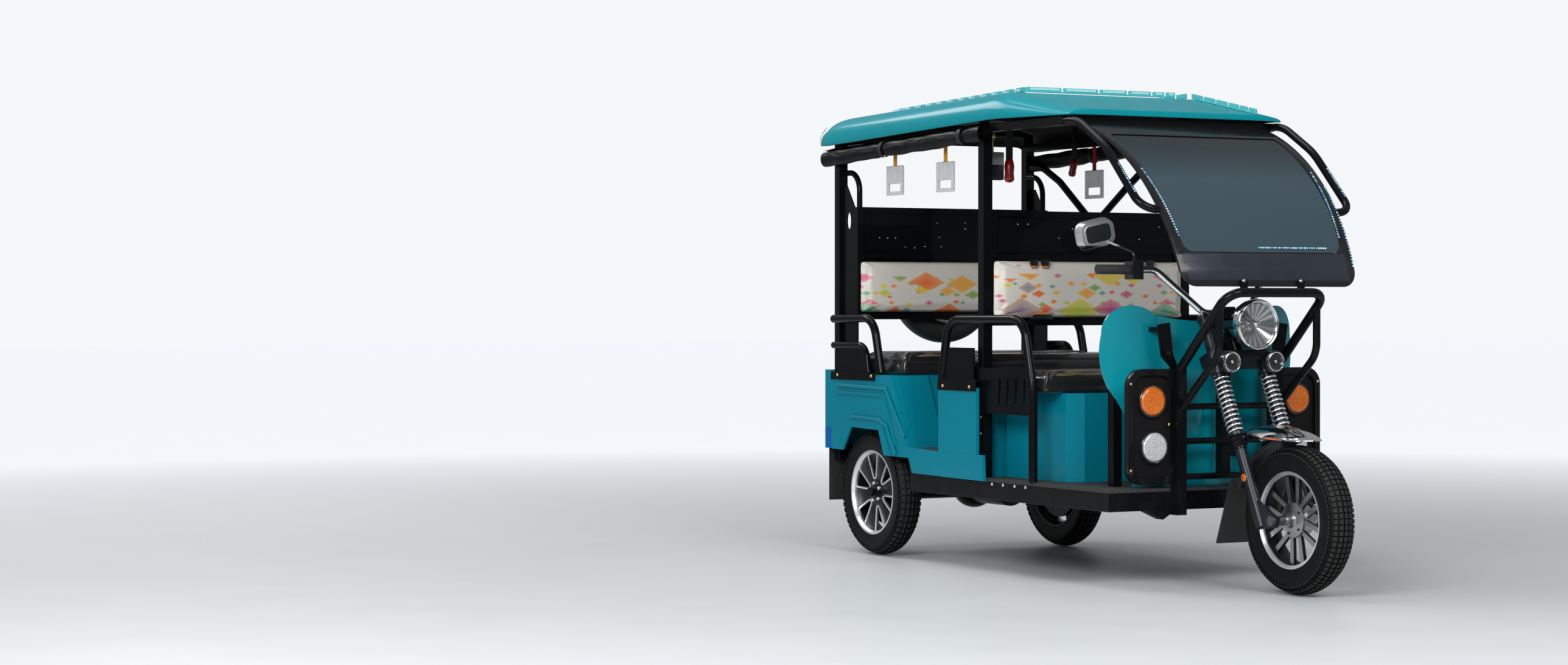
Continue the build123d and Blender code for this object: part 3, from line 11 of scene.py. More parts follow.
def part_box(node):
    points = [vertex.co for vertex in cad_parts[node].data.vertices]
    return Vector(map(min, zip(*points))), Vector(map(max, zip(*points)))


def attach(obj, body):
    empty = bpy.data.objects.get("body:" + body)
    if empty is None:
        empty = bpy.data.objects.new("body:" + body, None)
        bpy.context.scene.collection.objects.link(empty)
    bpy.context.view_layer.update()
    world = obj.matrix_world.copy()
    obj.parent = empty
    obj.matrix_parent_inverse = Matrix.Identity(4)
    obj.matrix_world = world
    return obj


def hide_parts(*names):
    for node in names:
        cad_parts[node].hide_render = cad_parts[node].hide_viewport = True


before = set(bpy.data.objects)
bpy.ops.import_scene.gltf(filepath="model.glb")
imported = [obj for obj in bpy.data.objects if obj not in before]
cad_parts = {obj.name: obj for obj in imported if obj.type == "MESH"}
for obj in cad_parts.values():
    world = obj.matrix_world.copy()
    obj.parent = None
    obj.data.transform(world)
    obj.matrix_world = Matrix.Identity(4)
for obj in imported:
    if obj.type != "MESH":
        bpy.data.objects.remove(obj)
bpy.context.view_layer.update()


# Studio: a plain pale floor under soft light, and the camera where the photograph was taken.
# The floor and the air are pale to the eye and in reflections, but add little light of their own.
class Wire:
    """One socket of a material, on which shader sums are written as plain arithmetic."""

    def __init__(self, tree, socket):
        self.tree = tree
        self.socket = socket

    def node(self, kind, inputs, output=0, stops=(), **settings):
        """Add a node: its settings first, then the values or links of its inputs."""
        made = self.tree.nodes.new("ShaderNode" + kind)
        for key, value in settings.items():
            setattr(made, key, value)
        if stops:
            ramp = made.color_ramp.elements
            ramp.remove(ramp[1])
            ramp[0].position, ramp[0].color = stops[0]
            for position, colour in stops[1:]:
                ramp.new(position).color = colour
        self.feed(made, inputs)
        return Wire(self.tree, made.outputs[output])

    def feed(self, target, inputs):
        """Give a node's inputs their values or links."""
        for key, value in inputs.items():
            if isinstance(value, Wire):
                self.tree.links.new(value.socket, target.inputs[key])
            else:
                target.inputs[key].default_value = value

    def wear(self, **inputs):
        """Feed the material's shader; an underscore stands for the blank in an input's name."""
        self.feed(self.tree.nodes["Principled BSDF"], {key.replace("_", " "): value for key, value in inputs.items()})

    def cover(self, dark, light, share, base, **more):
        """Feed the shader two tones and a roughness that follow this value."""
        self.wear(Base_Color=self.mix(dark, light), Roughness=self * share + base, **more)

    def sum(self, operation, *values):
        return self.node("Math", dict(enumerate(values)), operation=operation)

    def __add__(self, other):
        return self.sum("ADD", self, other)

    __radd__ = __add__

    def __sub__(self, other):
        return self.sum("SUBTRACT", self, other)

    def __rsub__(self, other):
        return self.sum("SUBTRACT", other, self)

    def __mul__(self, other):
        return self.sum("MULTIPLY", self, other)

    __rmul__ = __mul__

    def __lt__(self, other):
        return self.sum("LESS_THAN", self, other)

    def __gt__(self, other):
        return self.sum("GREATER_THAN", self, other)

    def unsigned(self):
        return self.sum("ABSOLUTE", self)

    def wave(self, rate):
        return self.sum("SINE", self * rate)

    def mix(self, plain, marked):
        """A colour that goes from plain to marked as this value goes from 0 to 1. Tones are in thousandths."""
        colours = [c if isinstance(c, Wire) else tuple(v / 1000 for v in c) + (1,) for c in (plain, marked)]
        return self.node("Mix", {0: self, 6: colours[0], 7: colours[1]}, 2, data_type="RGBA")

    def between(self, low, high):
        """0 below low, 1 above high, and even in between."""
        return self.node("MapRange", {"Value": self, "From Min": low, "From Max": high})

    def bump(self, strength, distance):
        return self.node("Bump", {"Height": self, "Strength": strength, "Distance": distance})

    def noise(self, scale, detail=3.0, **more):
        return self.node("TexNoise", {"Vector": self, "Scale": scale, "Detail": detail, **more})

    def part(self, axis):
        """One coordinate of a position: 0, 1 or 2."""
        return self.node("SeparateXYZ", {0: self}, axis)

    def vector(self, operation, other):
        return self.node("VectorMath", {0: self, 1: other}, operation=operation)

    def length(self):
        return self.node("VectorMath", {0: self}, "Value", operation="LENGTH")


def finish(name, clear=(0, 0.03), shine=0.5, metal=0):
    """A Principled material, and the piece's own coordinates. Clear is a coat's weight and roughness."""
    material = bpy.data.materials.new(name)
    material.use_nodes = True
    tree = material.node_tree
    place = Wire(tree, tree.nodes.new("ShaderNodeTexCoord").outputs["Object"])
    place.wear(Coat_Weight=clear[0], Coat_Roughness=clear[1], Specular_IOR_Level=shine, Metallic=metal)
    return material, place


def clouded(name, dark, light, grain, rough, gloss_grain=None, bump=None, **look):
    """A material in a cloud of two tones. Grains are (scale, detail) and rough is (share of the grain, base)."""
    material, place = finish(name, **look)
    cloud = place.noise(*grain)
    sheen = place.noise(*gloss_grain) if gloss_grain else cloud
    place.wear(Base_Color=cloud.mix(dark, light), Roughness=sheen * rough[0] + rough[1])
    if bump:
        place.wear(Normal=sheen.bump(*bump))
    return material


studio = bpy.context.scene
studio.world = bpy.data.worlds.new("studio_air")
studio.world.use_nodes = True
air = Wire(studio.world.node_tree, None)
eye = air.node("LightPath", {}, "Is Camera Ray") + air.node("LightPath", {}, "Is Transmission Ray")
gloss = air.node("LightPath", {}, "Is Glossy Ray")
air.feed(air.tree.nodes["Background"], {"Color": (0.93, 0.95, 0.97, 1), "Strength": eye * 0.74 + gloss * 0.08 + 0.24})

bpy.ops.object.select_all(action="DESELECT")
bpy.ops.mesh.primitive_plane_add(size=120)
floor = bpy.context.object
floor.name = "studio_floor"
floor_paint, place = finish("studio_floor_paint")
reach = place.length().between(2.0, 9.0)
seen = place.node("LightPath", {}, "Is Camera Ray")
place.wear(
    Emission_Strength=1, Base_Color=reach.mix(place.noise(0.6).mix((600, 620, 640), (660, 680, 690)), (160, 170, 180)),
    Roughness=place.noise(3.0) * 0.12 + 0.34, Emission_Color=(seen * reach).mix((0, 0, 0), (780, 800, 830)))
floor.data.materials.append(floor_paint)

# lamp name, place, target, width, height, power
for name, spot, target, width, height, power in (
    ("key", (-5.4, -4.2, 3.6), (0, -0.2, 0.8), 3.0, 2.4, 310),
    ("front", (-0.4, -6.2, 4.4), (0, -0.4, 0.9), 3.0, 2.2, 230),
    ("rim", (-2.4, 5.0, 4.8), (0, 0.4, 1.0), 3.0, 1.6, 110),
    ("top", (-0.9, 1.2, 5.2), (0, 0.4, 1), 2.6, 3.0, 90),
):
    lamp = bpy.data.lights.new(f"lamp_{name}", "AREA")
    lamp.shape = "RECTANGLE"
    lamp.size = width
    lamp.size_y = height
    lamp.energy = power
    holder = bpy.data.objects.new(f"lamp_{name}", lamp)
    holder.location = spot
    holder.rotation_euler = (Vector(target) - Vector(spot)).to_track_quat("-Z", "Y").to_euler()
    studio.collection.objects.link(holder)

lens = bpy.data.cameras.new("camera")
lens.lens = 67.33
lens.sensor_width = 36
studio.camera = bpy.data.objects.new("camera", lens)
studio.camera.location = (-6.138, -8.891, 0.967)
studio.camera.rotation_euler = (math.radians(89.47), 0, math.radians(-28.235))
studio.collection.objects.link(studio.camera)
studio.view_settings.view_transform = "Standard"

# Chassis, pillars, guards and tubes: welded mild steel under black stoving enamel, with a hard gloss,
# a faint orange peel, and road dust that thins out with height.
enamel, place = finish("black_enamel", clear=(0.1, 0.03), shine=0.1)
dust = (1 - place.part(2).between(0.12, 0.5)) * place.noise(14.0, 5.0).between(0.42, 0.75)
cloud = place.noise(7.0)
place.wear(
    Base_Color=(dust * 0.08).mix(cloud.mix((2.5, 3, 4), (4.5, 5, 6)), (50, 48, 45)),
    Roughness=dust * 0.25 + cloud * 0.12 + 0.18, Normal=place.noise(420.0, 2.0).bump(0.05, 0.0006))


def dress(material, *nodes):
    """Paint CAD nodes."""
    for node in nodes:
        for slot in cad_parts[node].material_slots:
            slot.material = material


def modify(piece, kind, keep=False, **settings):
    """Add a modifier with its settings, and apply it unless it is kept."""
    step = piece.modifiers.new(kind.lower(), kind)
    for key, value in settings.items():
        setattr(step, key, value)
    if not keep:
        bpy.ops.object.modifier_apply(modifier=step.name)


def soften(width, *nodes):
    """Round the hard edges of CAD nodes a little, as folded, welded or moulded edges are."""
    for node in nodes:
        modify(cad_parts[node], "WELD", True, merge_threshold=0.00002)
        modify(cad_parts[node], "BEVEL", True, width=width, segments=2, limit_method="ANGLE",
               angle_limit=math.radians(40), harden_normals=True)


dress(enamel, "chassis_frame", "canopy_frame", "guard_loops", "arm_loops", "side_guard_rail", "front_guard",
      "shield_columns", "seat_side_plates", "windscreen_wings", "mid_backrest", "rear_backrest", "fork")
soften(0.002, "chassis_frame", "canopy_frame", "shield_columns")
modify(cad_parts["windscreen_wings"], "WELD", True, merge_threshold=0.00002)
modify(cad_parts["windscreen_wings"], "DISPLACE", True, strength=0.003, mid_level=0.0)

# Floors: pressed sheet covered with ribbed black rubber matting.
rib_pitch = 0.012
rubber_mat, place = finish("ribbed_mat")
grit = place.noise(60.0, 5.0)
grit.cover((16, 16, 17), (35, 34, 33), 0.25, 0.55, Normal=place.part(0).wave(math.tau / rib_pitch).bump(0.5, 0.0015))
dress(rubber_mat, "floor_deck", "passenger_floor")

# Body panels, seat boxes and front shield: pressed steel in deep teal gloss with a clear coat over it.
panel_tones = (1, 195, 272), (2, 232, 325)
teal, place = finish("teal_gloss", clear=(0.25, 0.03), shine=0.1)
cloud = place.noise(3.0)
across, along, height = [place.part(axis) for axis in range(3)]
grime = (1 - height.between(0.32, 0.4)) * place.noise(40.0, 4.0).between(0.5, 0.9)
side = across.unsigned()
# Inside the rear wheel arches, the body's inner faces are painted near black: painted shade in the wheel wells.
wheel_well_painted_shade = (side < 0.4885) * (side > 0.34) * (along > 0.7) * (along < 1.3) * (height < 0.56)
paint = (grime * 0.3).mix(cloud.mix(*panel_tones), (40, 70, 75))
place.wear(Base_Color=wheel_well_painted_shade.mix(paint, (6, 6, 7)), Roughness=grime * 0.3 + cloud * 0.06 + 0.2,
           Normal=place.noise(300.0, 2.0).bump(0.03, 0.0006))
dress(teal, "body_sides", "rear_seat_base", "mid_box", "driver_box")
shield_teal, place = finish("shield_gloss", clear=(0.6, 0.04), shine=0.2)
cloud = place.noise(4.0)
cloud.cover((1, 205, 262), (3, 255, 315), 0.08, 0.16, Normal=place.noise(9.0, 1.0).bump(0.12, 0.01))
dress(shield_teal, "front_shield")
film, place = finish("teal_gloss_with_film", clear=(0.25, 0.03), shine=0.1)
cloud = place.noise(3.0)
outer = ((place.part(0).unsigned() > 0.4905) + (place.part(1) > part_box("body_rear")[1].y - 0.002)) > 0.5
lower = 1 - (1 - place.part(2).between(0.484, 0.49)) * outer * (place.part(1) > 1.2)
place.wear(Base_Color=lower.mix((4, 120, 400), cloud.mix(*panel_tones)), Roughness=cloud * 0.06 + 0.2,
           Normal=place.noise(300.0, 2.0).bump(0.03, 0.0006))
dress(film, "body_rear")

# Tyres: black rubber on twelve-inch rims, with square tread blocks over the crown and both shoulders,
# moulded in rows round the carcass.
def select(piece):
    """Make a piece the only one selected, and the active one."""
    bpy.ops.object.select_all(action="DESELECT")
    piece.select_set(True)
    bpy.context.view_layer.objects.active = piece


def start(add, name, **sizes):
    """Add a primitive at its size and place, with nothing else selected."""
    bpy.ops.object.select_all(action="DESELECT")
    add(**sizes)
    bpy.context.object.name = name
    return bpy.context.object


mm = 0.001


def raw(name, points, edges, faces):
    """A piece from bare points, edges and faces."""
    mesh = bpy.data.meshes.new(name)
    mesh.from_pydata(points, edges, faces)
    piece = bpy.data.objects.new(name, mesh)
    studio.collection.objects.link(piece)
    return piece


def edit(piece, kind="FACE", test=None):
    """Open a piece for editing, with its parts selected that pass a test."""
    if bpy.context.object is not piece or bpy.context.mode != "EDIT_MESH":
        select(piece)
        bpy.ops.object.mode_set(mode="EDIT")
    bpy.ops.mesh.select_mode(type=kind)
    bpy.ops.mesh.select_all(action="DESELECT" if test else "SELECT")
    if test:
        mesh = bmesh.from_edit_mesh(piece.data)
        for item in {"FACE": mesh.faces, "EDGE": mesh.edges, "VERT": mesh.verts}[kind]:
            item.select_set(bool(test(item)))
        bmesh.update_edit_mesh(piece.data)


def shut():
    """Leave edit mode."""
    bpy.ops.object.mode_set(mode="OBJECT")


def outward(piece, kind="FACE"):
    """Turn all faces of a piece outwards."""
    edit(piece, kind)
    bpy.ops.mesh.normals_make_consistent(inside=False)
    shut()
    return piece


def aim(spot, axis, turn=0.0, size=1.0):
    """The placing of a piece made round Z at the origin: its spot, its axis, its turn and its size."""
    return (Matrix.Translation(spot) @ Vector(axis).to_track_quat("Z", "Y").to_matrix().to_4x4()
            @ Matrix.Rotation(turn, 4, "Z") @ Matrix.Scale(size, 4))


def turned(name, profile, steps=40, closed=False):
    """Spin a profile of (radius, height) points round Z, in millimetres."""
    edges = [(n, n + 1) for n in range(len(profile) - 1)] + ([(len(profile) - 1, 0)] if closed else [])
    piece = raw(name, [(radius * mm, 0, height * mm) for radius, height in profile], edges, [])
    edit(piece, "EDGE")
    bpy.ops.mesh.spin(steps=steps, angle=math.tau, center=(0, 0, 0), axis=(0, 0, 1))
    edit(piece, "VERT")
    bpy.ops.mesh.remove_doubles(threshold=0.00001)
    return outward(piece, "VERT")


def joined(name, pieces):
    """Join pieces into one."""
    select(pieces[0])
    for piece in pieces:
        piece.select_set(True)
    if len(pieces) > 1:
        bpy.ops.object.join()
    pieces[0].name = name
    return pieces[0]


def copies(piece, places):
    """Set copies of a piece, each with its own mesh, at these placings, and join them into it."""
    made = []
    for place in places:
        twin = piece.copy()
        twin.data = piece.data.copy()
        twin.data.transform(place)
        studio.collection.objects.link(twin)
        made.append(twin)
    name = piece.name
    bpy.data.objects.remove(piece)
    return joined(name, made)


def settle(piece, material, body, smooth=35):
    """Put a piece's place into its mesh, smooth it, paint it and fix it to its body."""
    select(piece)
    bpy.ops.object.transform_apply()
    bpy.ops.object.shade_smooth_by_angle(angle=math.radians(smooth))
    if material:
        coat(piece, material)
    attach(piece, body)


def coat(piece, material):
    """Paint a piece, or a part of one before it is joined."""
    piece.data.materials.clear()
    piece.data.materials.append(material)
    return piece


def spun(name, profile, steps, places, material, body, smooth=35, closed=False):
    """Spin a profile, set copies of it at these placings and settle them as one piece."""
    settle(copies(turned(name, profile, steps, closed), places), material, body, smooth)


tread_columns = (8.5, 25.5, 41)
tread_depth = 6
crown_radius = 62.9
tyre_rubber, place = finish("tyre_rubber", shine=0.14)
grain = place.noise(70.0, 4.0)
chalk = place.noise(9.0, 4.0).between(0.5, 0.8)
place.wear(Base_Color=(chalk * 0.5).mix((4.5, 5.5, 6.5), (12, 13, 14)),
           Roughness=grain * 0.22 + 0.42, Normal=grain.bump(0.12, 0.0008))
# Raised tread faces take a paler rubber: partly road wear, partly painted light, so that the grooves and sidewalls
# beside them read as painted shade.
scuffed_tread_vs_groove_shade = clouded("scuffed_tread_with_painted_groove_shade", (15, 15.5, 15.5), (34, 33, 31), (90.0, 4.0), (0.2, 0.6),
                      bump=(0.2, 0.0008), shine=0.16)


def tyre(name, centre, radius, pitches, groove, body, *nodes):
    """Spin the carcass, then raise the tread blocks out of it."""
    half = [(radius - crown_radius + math.sqrt(crown_radius ** 2 - x ** 2) - tread_depth, x) for x in tread_columns]
    half += [(radius - 24.5, 45.8), (radius - 34, 48), ((162 + radius) / 2 - 3, 48.6), (182, 46.4), (169.5, 42.5),
             (165.5, 41.8), (163.5, 39.5), (158, 37)]
    piece = turned(name, [(r, -x) for r, x in reversed(half)] + half, pitches)
    edit(piece, "FACE", lambda face: abs(face.calc_center_median().z) < 0.0475
         and face.calc_center_median().xy.length > (radius - 30) * mm)
    bpy.ops.mesh.inset(thickness=groove, use_individual=True)
    bpy.ops.mesh.extrude_faces_move(TRANSFORM_OT_shrink_fatten={"value": 0.0054})
    piece.data.materials.append(tyre_rubber)
    # The raised faces take the paler tread rubber: wear, and painted light against the painted shade of the grooves.
    piece.data.materials.append(scuffed_tread_vs_groove_shade)
    piece.active_material_index = 1
    bpy.ops.object.material_slot_assign()
    shut()
    piece.data.transform(aim(centre, (1, 0, 0)))
    settle(piece, None, body, 28)
    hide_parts(*nodes)


front_hub = (0, -1.09, 0.251)
rear_hubs = {"right": (-0.423, 0.953, 0.243), "left": (0.423, 0.953, 0.243)}
tyre("front_tyre_treaded", front_hub, 251, 80, 0.0023, "front_wheel", "front_tyre")
for side, hub in rear_hubs.items():
    tyre(f"rear_{side}_tyre_treaded", hub, 243, 56, 0.0034, f"rear_wheel_{side}", f"rear_{side}_tyre")

# Rims: cast alloy. The rear ones are deep dishes with a polished barrel, and six black spokes whose
# edges are machined bright round U-shaped windows. The front one has twin flat spokes, three bright
# rings on its lip and a turned steel hub.
def plate(name, outline, low, high, round_by=0.0):
    """A flat plate from (x, y) corners, between two heights, its edges rounded, in millimetres."""
    piece = raw(name, [(x * mm, y * mm, low * mm) for x, y in outline], [], [range(len(outline))])
    edit(piece)
    bpy.ops.mesh.extrude_region_move(TRANSFORM_OT_translate={"value": (0, 0, (high - low) * mm)})
    edit(piece)
    bpy.ops.mesh.normals_make_consistent(inside=False)
    if round_by:
        bpy.ops.mesh.bevel(offset=round_by * mm, segments=2, affect="EDGES")
    shut()
    return piece


def ribbon(name, path, width, low, high, round_by=0.0):
    """A flat strip of even width along a path of (x, y) points."""
    sides = ([], [])
    for n, (x, y) in enumerate(path):
        before, after = path[max(n - 1, 0)], path[min(n + 1, len(path) - 1)]
        run = Vector((after[0] - before[0], after[1] - before[1])).normalized() * (width / 2)
        sides[0].append((x - run.y, y + run.x))
        sides[1].append((x + run.y, y - run.x))
    return plate(name, sides[0] + sides[1][::-1], low, high, round_by)


def ring_of(count, turn=0.0, spot=(0, 0, 0)):
    """Even placings round Z, from a first turn, each at a spot of its own."""
    return [Matrix.Rotation(math.tau * n / count + turn, 4, "Z") @ Matrix.Translation(spot) for n in range(count)]


rim_black = clouded("rim_black", (3, 4, 6), (8, 9, 12), (30.0, 4.0), (0.2, 0.32), clear=(0.1, 0.08), shine=0.2)
polished = clouded("polished_alloy", (820, 820, 840), (930, 930, 940), (11.0,), (0.14, 0.26), (240.0, 2.0),
                   (0.04, 0.0004), metal=1)
turned_steel, place = finish("turned_steel", metal=1)
ring = place.vector("SUBTRACT", front_hub).length()
lathe = ring.node("TexNoise", {"W": ring * 1400, "Detail": 1.0}, noise_dimensions="1D")
lathe.cover((300, 300, 310), (500, 500, 500), 0.18, 0.24, Normal=lathe.bump(0.06, 0.0004))
chrome = clouded("chrome_plate", (660, 670, 690), (800, 810, 820), (30.0, 4.0), (0.14, 0.05), metal=1)

well_shape = [(153.5, -36), (163.2, -39.5), (163.2, -43), (156.5, -43), (147, -30), (146, 0)]
window_round = 10.5
window_end = [(window_round * math.sin(turn), 64 - window_round * math.cos(turn))
              for turn in [math.radians(degrees) for degrees in range(-75, 76, 25)]]
nut_profile = [(0, 14.5), (3.5, 14.2), (6.2, 11.8), (7.2, 8.5), (7.8, 0), (0, 0)]
for side, hub in rear_hubs.items():
    barrel = coat(turned("barrel", [
        (154.5, 20), (149, 20), (149.5, 29), (151.2, 35), (154.5, 38.5), (156.5, 43.2),
        (159.8, 43.8), (163.2, 42.8), (163.6, 39.8), (156, 36.5)], 64, True), polished)
    well = coat(turned("well", [(154.5, 20)] + well_shape + [(148.8, 20.5)], 64, True), rim_black)
    spoke = coat(plate("spoke", [(-20.5, 44), (20.5, 44), (38.5, 149.7), (-38.5, 149.7)], 7, 20.5, 1.5), rim_black)
    spokes = copies(spoke, ring_of(6, math.tau / 12))
    bright = coat(ribbon("bright", [(-36.2, 149), (-11.8, 65.5)] + window_end
                         + [(11.8, 65.5), (36.2, 149)], 7.4, 12, 23.6, 0.8), polished)
    boss = coat(turned("boss", [
        (0, 34), (10, 33.5), (17.5, 30), (18.5, 24), (30, 22.5), (49, 21.5),
        (53.5, 19), (54.5, 4), (58, -4), (58, -30), (0, -30)]), rim_black)
    nuts = copies(coat(turned("nuts", nut_profile, 12), chrome), ring_of(5, 0.3, (0.0345, 0, 0.0215)))
    drum = coat(turned("drum", [(0, -12), (118, -12), (124, -15), (124, -29), (0, -29.5)], 48), rim_black)
    wheel = joined(f"rear_{side}_rim_cast", [barrel, well, spokes, copies(bright, ring_of(6)), boss, nuts, drum])
    wheel.data.transform(aim(hub, (-1 if side == "right" else 1, 0, 0), 0.2))
    settle(wheel, None, f"rear_wheel_{side}", 40)
    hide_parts(f"rear_{side}_rim")

lip = coat(turned("lip", [
    (150.2, 30), (150.8, 36.5), (152.2, 36.2), (152.8, 38.8), (154.8, 38.4), (155.6, 41.2),
    (158, 41), (159.2, 43.6), (163, 43.2), (163.6, 39.8), (156, 36.5), (154.5, 30)], 72, True), polished)
well = coat(turned("well", [(154.5, 30)] + well_shape + [(150, 30.5)], 72, True), rim_black)
bars = []
for tilt in (-1, 1):
    outline = [(tilt * x, y) for x, y in ((11, 40), (26.5, 44), (38.5, 148.5), (19.5, 149.5))][::tilt]
    bars.append(copies(coat(plate("bar", outline, 4, 16.8, 1.2), rim_black), ring_of(6)))
    bars.append(copies(coat(plate("face", [(x * 0.985, y) for x, y in outline], 16.6, 17.6), turned_steel),
                       ring_of(6)))
hub = coat(turned("hub", [
    (0, 65.5), (12.5, 65.5), (13.5, 64.5), (13.5, 59.2), (16.8, 58.8), (17.5, 57.5),
    (17.8, 53.5), (22.5, 52.5), (24, 38), (27.5, 33.5), (56, 28), (59, 26.6),
    (60, 23.5), (60.2, 19), (60.2, 4), (51.5, -26), (45, -34), (21.5, -40), (20, -64), (0, -65.5)], 48), turned_steel)
studs = copies(coat(turned("studs", [(r * 0.55, z * 0.45) for r, z in nut_profile], 8), rim_black),
               ring_of(5, 0.5, (0.0475, 0, 0.0288)))
wheel = joined("front_rim_cast", [lip, well, hub, studs] + bars)
wheel.data.transform(aim(front_hub, (-1, 0, 0), 0.1))
settle(wheel, None, "front_wheel", 40)
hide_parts("front_rim")

# Pressed ribs: two bright folds that run along each side, over the wheel and down to the sill, pressed
# out of the sheet and painted with it, and the flare's rolled edge round the wheel arch.
def sideways(side, x):
    """The placing of a plate at x on one side, its own axes along Y, Z and outwards."""
    return Matrix(((0, 0, side, x * side), (1, 0, 0, 0), (0, 1, 0, 0), (0, 0, 0, 1)))


side_face = 0.497
ribs = []
for side in (-1, 1):
    for path, width, rise in (
        ([(1168, 655.5), (795, 649), (650, 470)], 13, 5),
        ([(1060, 533.5), (1029, 534.5), (843, 529), (786, 506), (716, 402)], 11, 6.2),
    ):
        ribs.append(ribbon("rib", path[::side], width, -1, rise, 1.2))
        ribs[-1].data.transform(sideways(side, side_face))
settle(outward(joined("side_ribs", ribs)), teal, "chassis")

# Fork springs: chromed steel coils round the upper legs, over black inner tubes, seated on rubber boots.
steer = Vector((0, math.sin(math.radians(25)), math.cos(math.radians(25))))
fork_foot = Vector((0, -1.01, 0.252))


def on_legs(along, x=0.1, out=0.0):
    """Placings at a height along both legs; those set out to the side face that way."""
    spots = [(side, fork_foot + Vector(((x + out) * side, 0, 0)) + steer * along) for side in (-1, 1)]
    return [aim(spot, (side, 0, 0) if out else steer) for side, spot in spots]


coil_wire = 0.0041
coil_radius = 0.0257
coil_turns = 12
coil_length = 0.208
wire = start(bpy.ops.mesh.primitive_circle_add, "fork_coils", vertices=12, radius=coil_wire,
             location=(coil_radius, 0, 0), rotation=(math.pi / 2, 0, 0))
bpy.ops.object.transform_apply()
modify(wire, "SCREW", axis="Z", angle=math.tau, iterations=coil_turns, screw_offset=coil_length / coil_turns,
       steps=28, render_steps=28)
edit(wire, "EDGE", lambda edge: edge.is_boundary)
bpy.ops.mesh.edge_face_add()
wire = copies(outward(wire), on_legs(0.3155))
coil_chrome = clouded("coil_chrome", (800, 810, 830), (950, 960, 970), (60.0,), (0.1, 0.16), (90.0,), metal=1)
settle(wire, coil_chrome, "steering", 60)
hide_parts("fork_springs")
soot = clouded("spring_tube_black", (2, 2, 2.5), (4, 4, 5), (30.0,), (0.1, 0.5), shine=0.1)
spun("fork_spring_tubes", [(0, 0), (18.5, 0), (18.5, 215), (0, 215)], 32, on_legs(0.312), soot,
     "steering")
spun("fork_caps", [(0, 10.5), (7, 10.5), (8.5, 8.5), (16.5, 8), (19.5, 6),
                   (20, 0), (0, 0)], 28, on_legs(0.7467), chrome, "steering")
fork_black = clouded("fork_black", (6, 8, 12), (11, 14, 21), (14.0,), (0.1, 0.32), clear=(0.12, 0.12), shine=0.25)
dress(fork_black, "fork")
spun("fork_boots", [
    (21, -52), (23.2, -50), (23.6, -40), (26.2, -36), (24, -30), (26.8, -24),
    (24.6, -18), (27.6, -12), (26.2, -6), (21, -4)], 32, on_legs(0.302), enamel, "steering")

# Seat cushions: foam in creased black glossy vinyl. They are blown up as cloth under pressure, pinned
# where they lie on their boxes.
black_vinyl, place = finish("black_vinyl", clear=(0.9, 0.07), shine=0.3)
pull = place.node("Mapping", {"Vector": place, "Scale": (3.0, 9.0, 9.0)})
crease = pull.noise(3.2, 6.0, Distortion=1.4)
pore = place.node("TexVoronoi", {"Vector": place, "Scale": 420.0})
crease.cover((8, 8, 9), (18, 18, 19), 0.22, 0.2, Normal=(crease + pore * 0.05).bump(0.55, 0.006))


def block(name, spot, size, round_by=0.0, segments=1):
    """A box at a spot, its edges rounded."""
    piece = start(bpy.ops.mesh.primitive_cube_add, name, size=1, location=spot)
    piece.scale = size
    bpy.ops.object.transform_apply()
    if round_by:
        edit(piece)
        bpy.ops.mesh.bevel(offset=round_by, segments=segments, affect="EDGES")
        shut()
    return piece


def stuffed(name, low, high, rounding, voxel, cap, pinned):
    """A padded block between two corners, remeshed, blown up as cloth and capped."""
    piece = block(name, [(a + b) / 2 for a, b in zip(low, high)], [b - a for a, b in zip(low, high)])
    modify(piece, "BEVEL", width=rounding, segments=4)
    modify(piece, "REMESH", voxel_size=voxel)
    rest = [vertex.co.copy() for vertex in piece.data.vertices]
    held = piece.vertex_groups.new(name="held")
    held.add([n for n, co in enumerate(rest) if pinned(co)], 1.0, "REPLACE")
    cloth = piece.modifiers.new("stuffing", "CLOTH")
    cloth.settings.use_pressure = True
    cloth.settings.uniform_pressure_force = 4.0
    cloth.settings.effector_weights.gravity = 0
    cloth.settings.vertex_group_mass = "held"
    for moment in range(1, 21):
        studio.frame_set(moment)
    bpy.ops.object.modifier_apply(modifier="stuffing")
    studio.frame_set(1)
    for vertex, home in zip(piece.data.vertices, rest):
        move = vertex.co - home
        if move.length > cap:
            vertex.co = home + move.normalized() * cap
    modify(piece, "SUBSURF", levels=1, render_levels=1)
    return piece


inset = 0.006
for name in ("driver", "mid", "rear"):
    low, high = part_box(f"{name}_cushion")
    cushion = stuffed(f"{name}_cushion_stuffed", (low.x + inset, low.y + inset, low.z),
                      (high.x - inset, high.y - inset, high.z - 0.012), 0.02, 0.009, 0.013,
                      lambda co, floor=low.z: co.z < floor + 0.012)
    settle(cushion, black_vinyl, "chassis", 60)
    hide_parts(f"{name}_cushion")

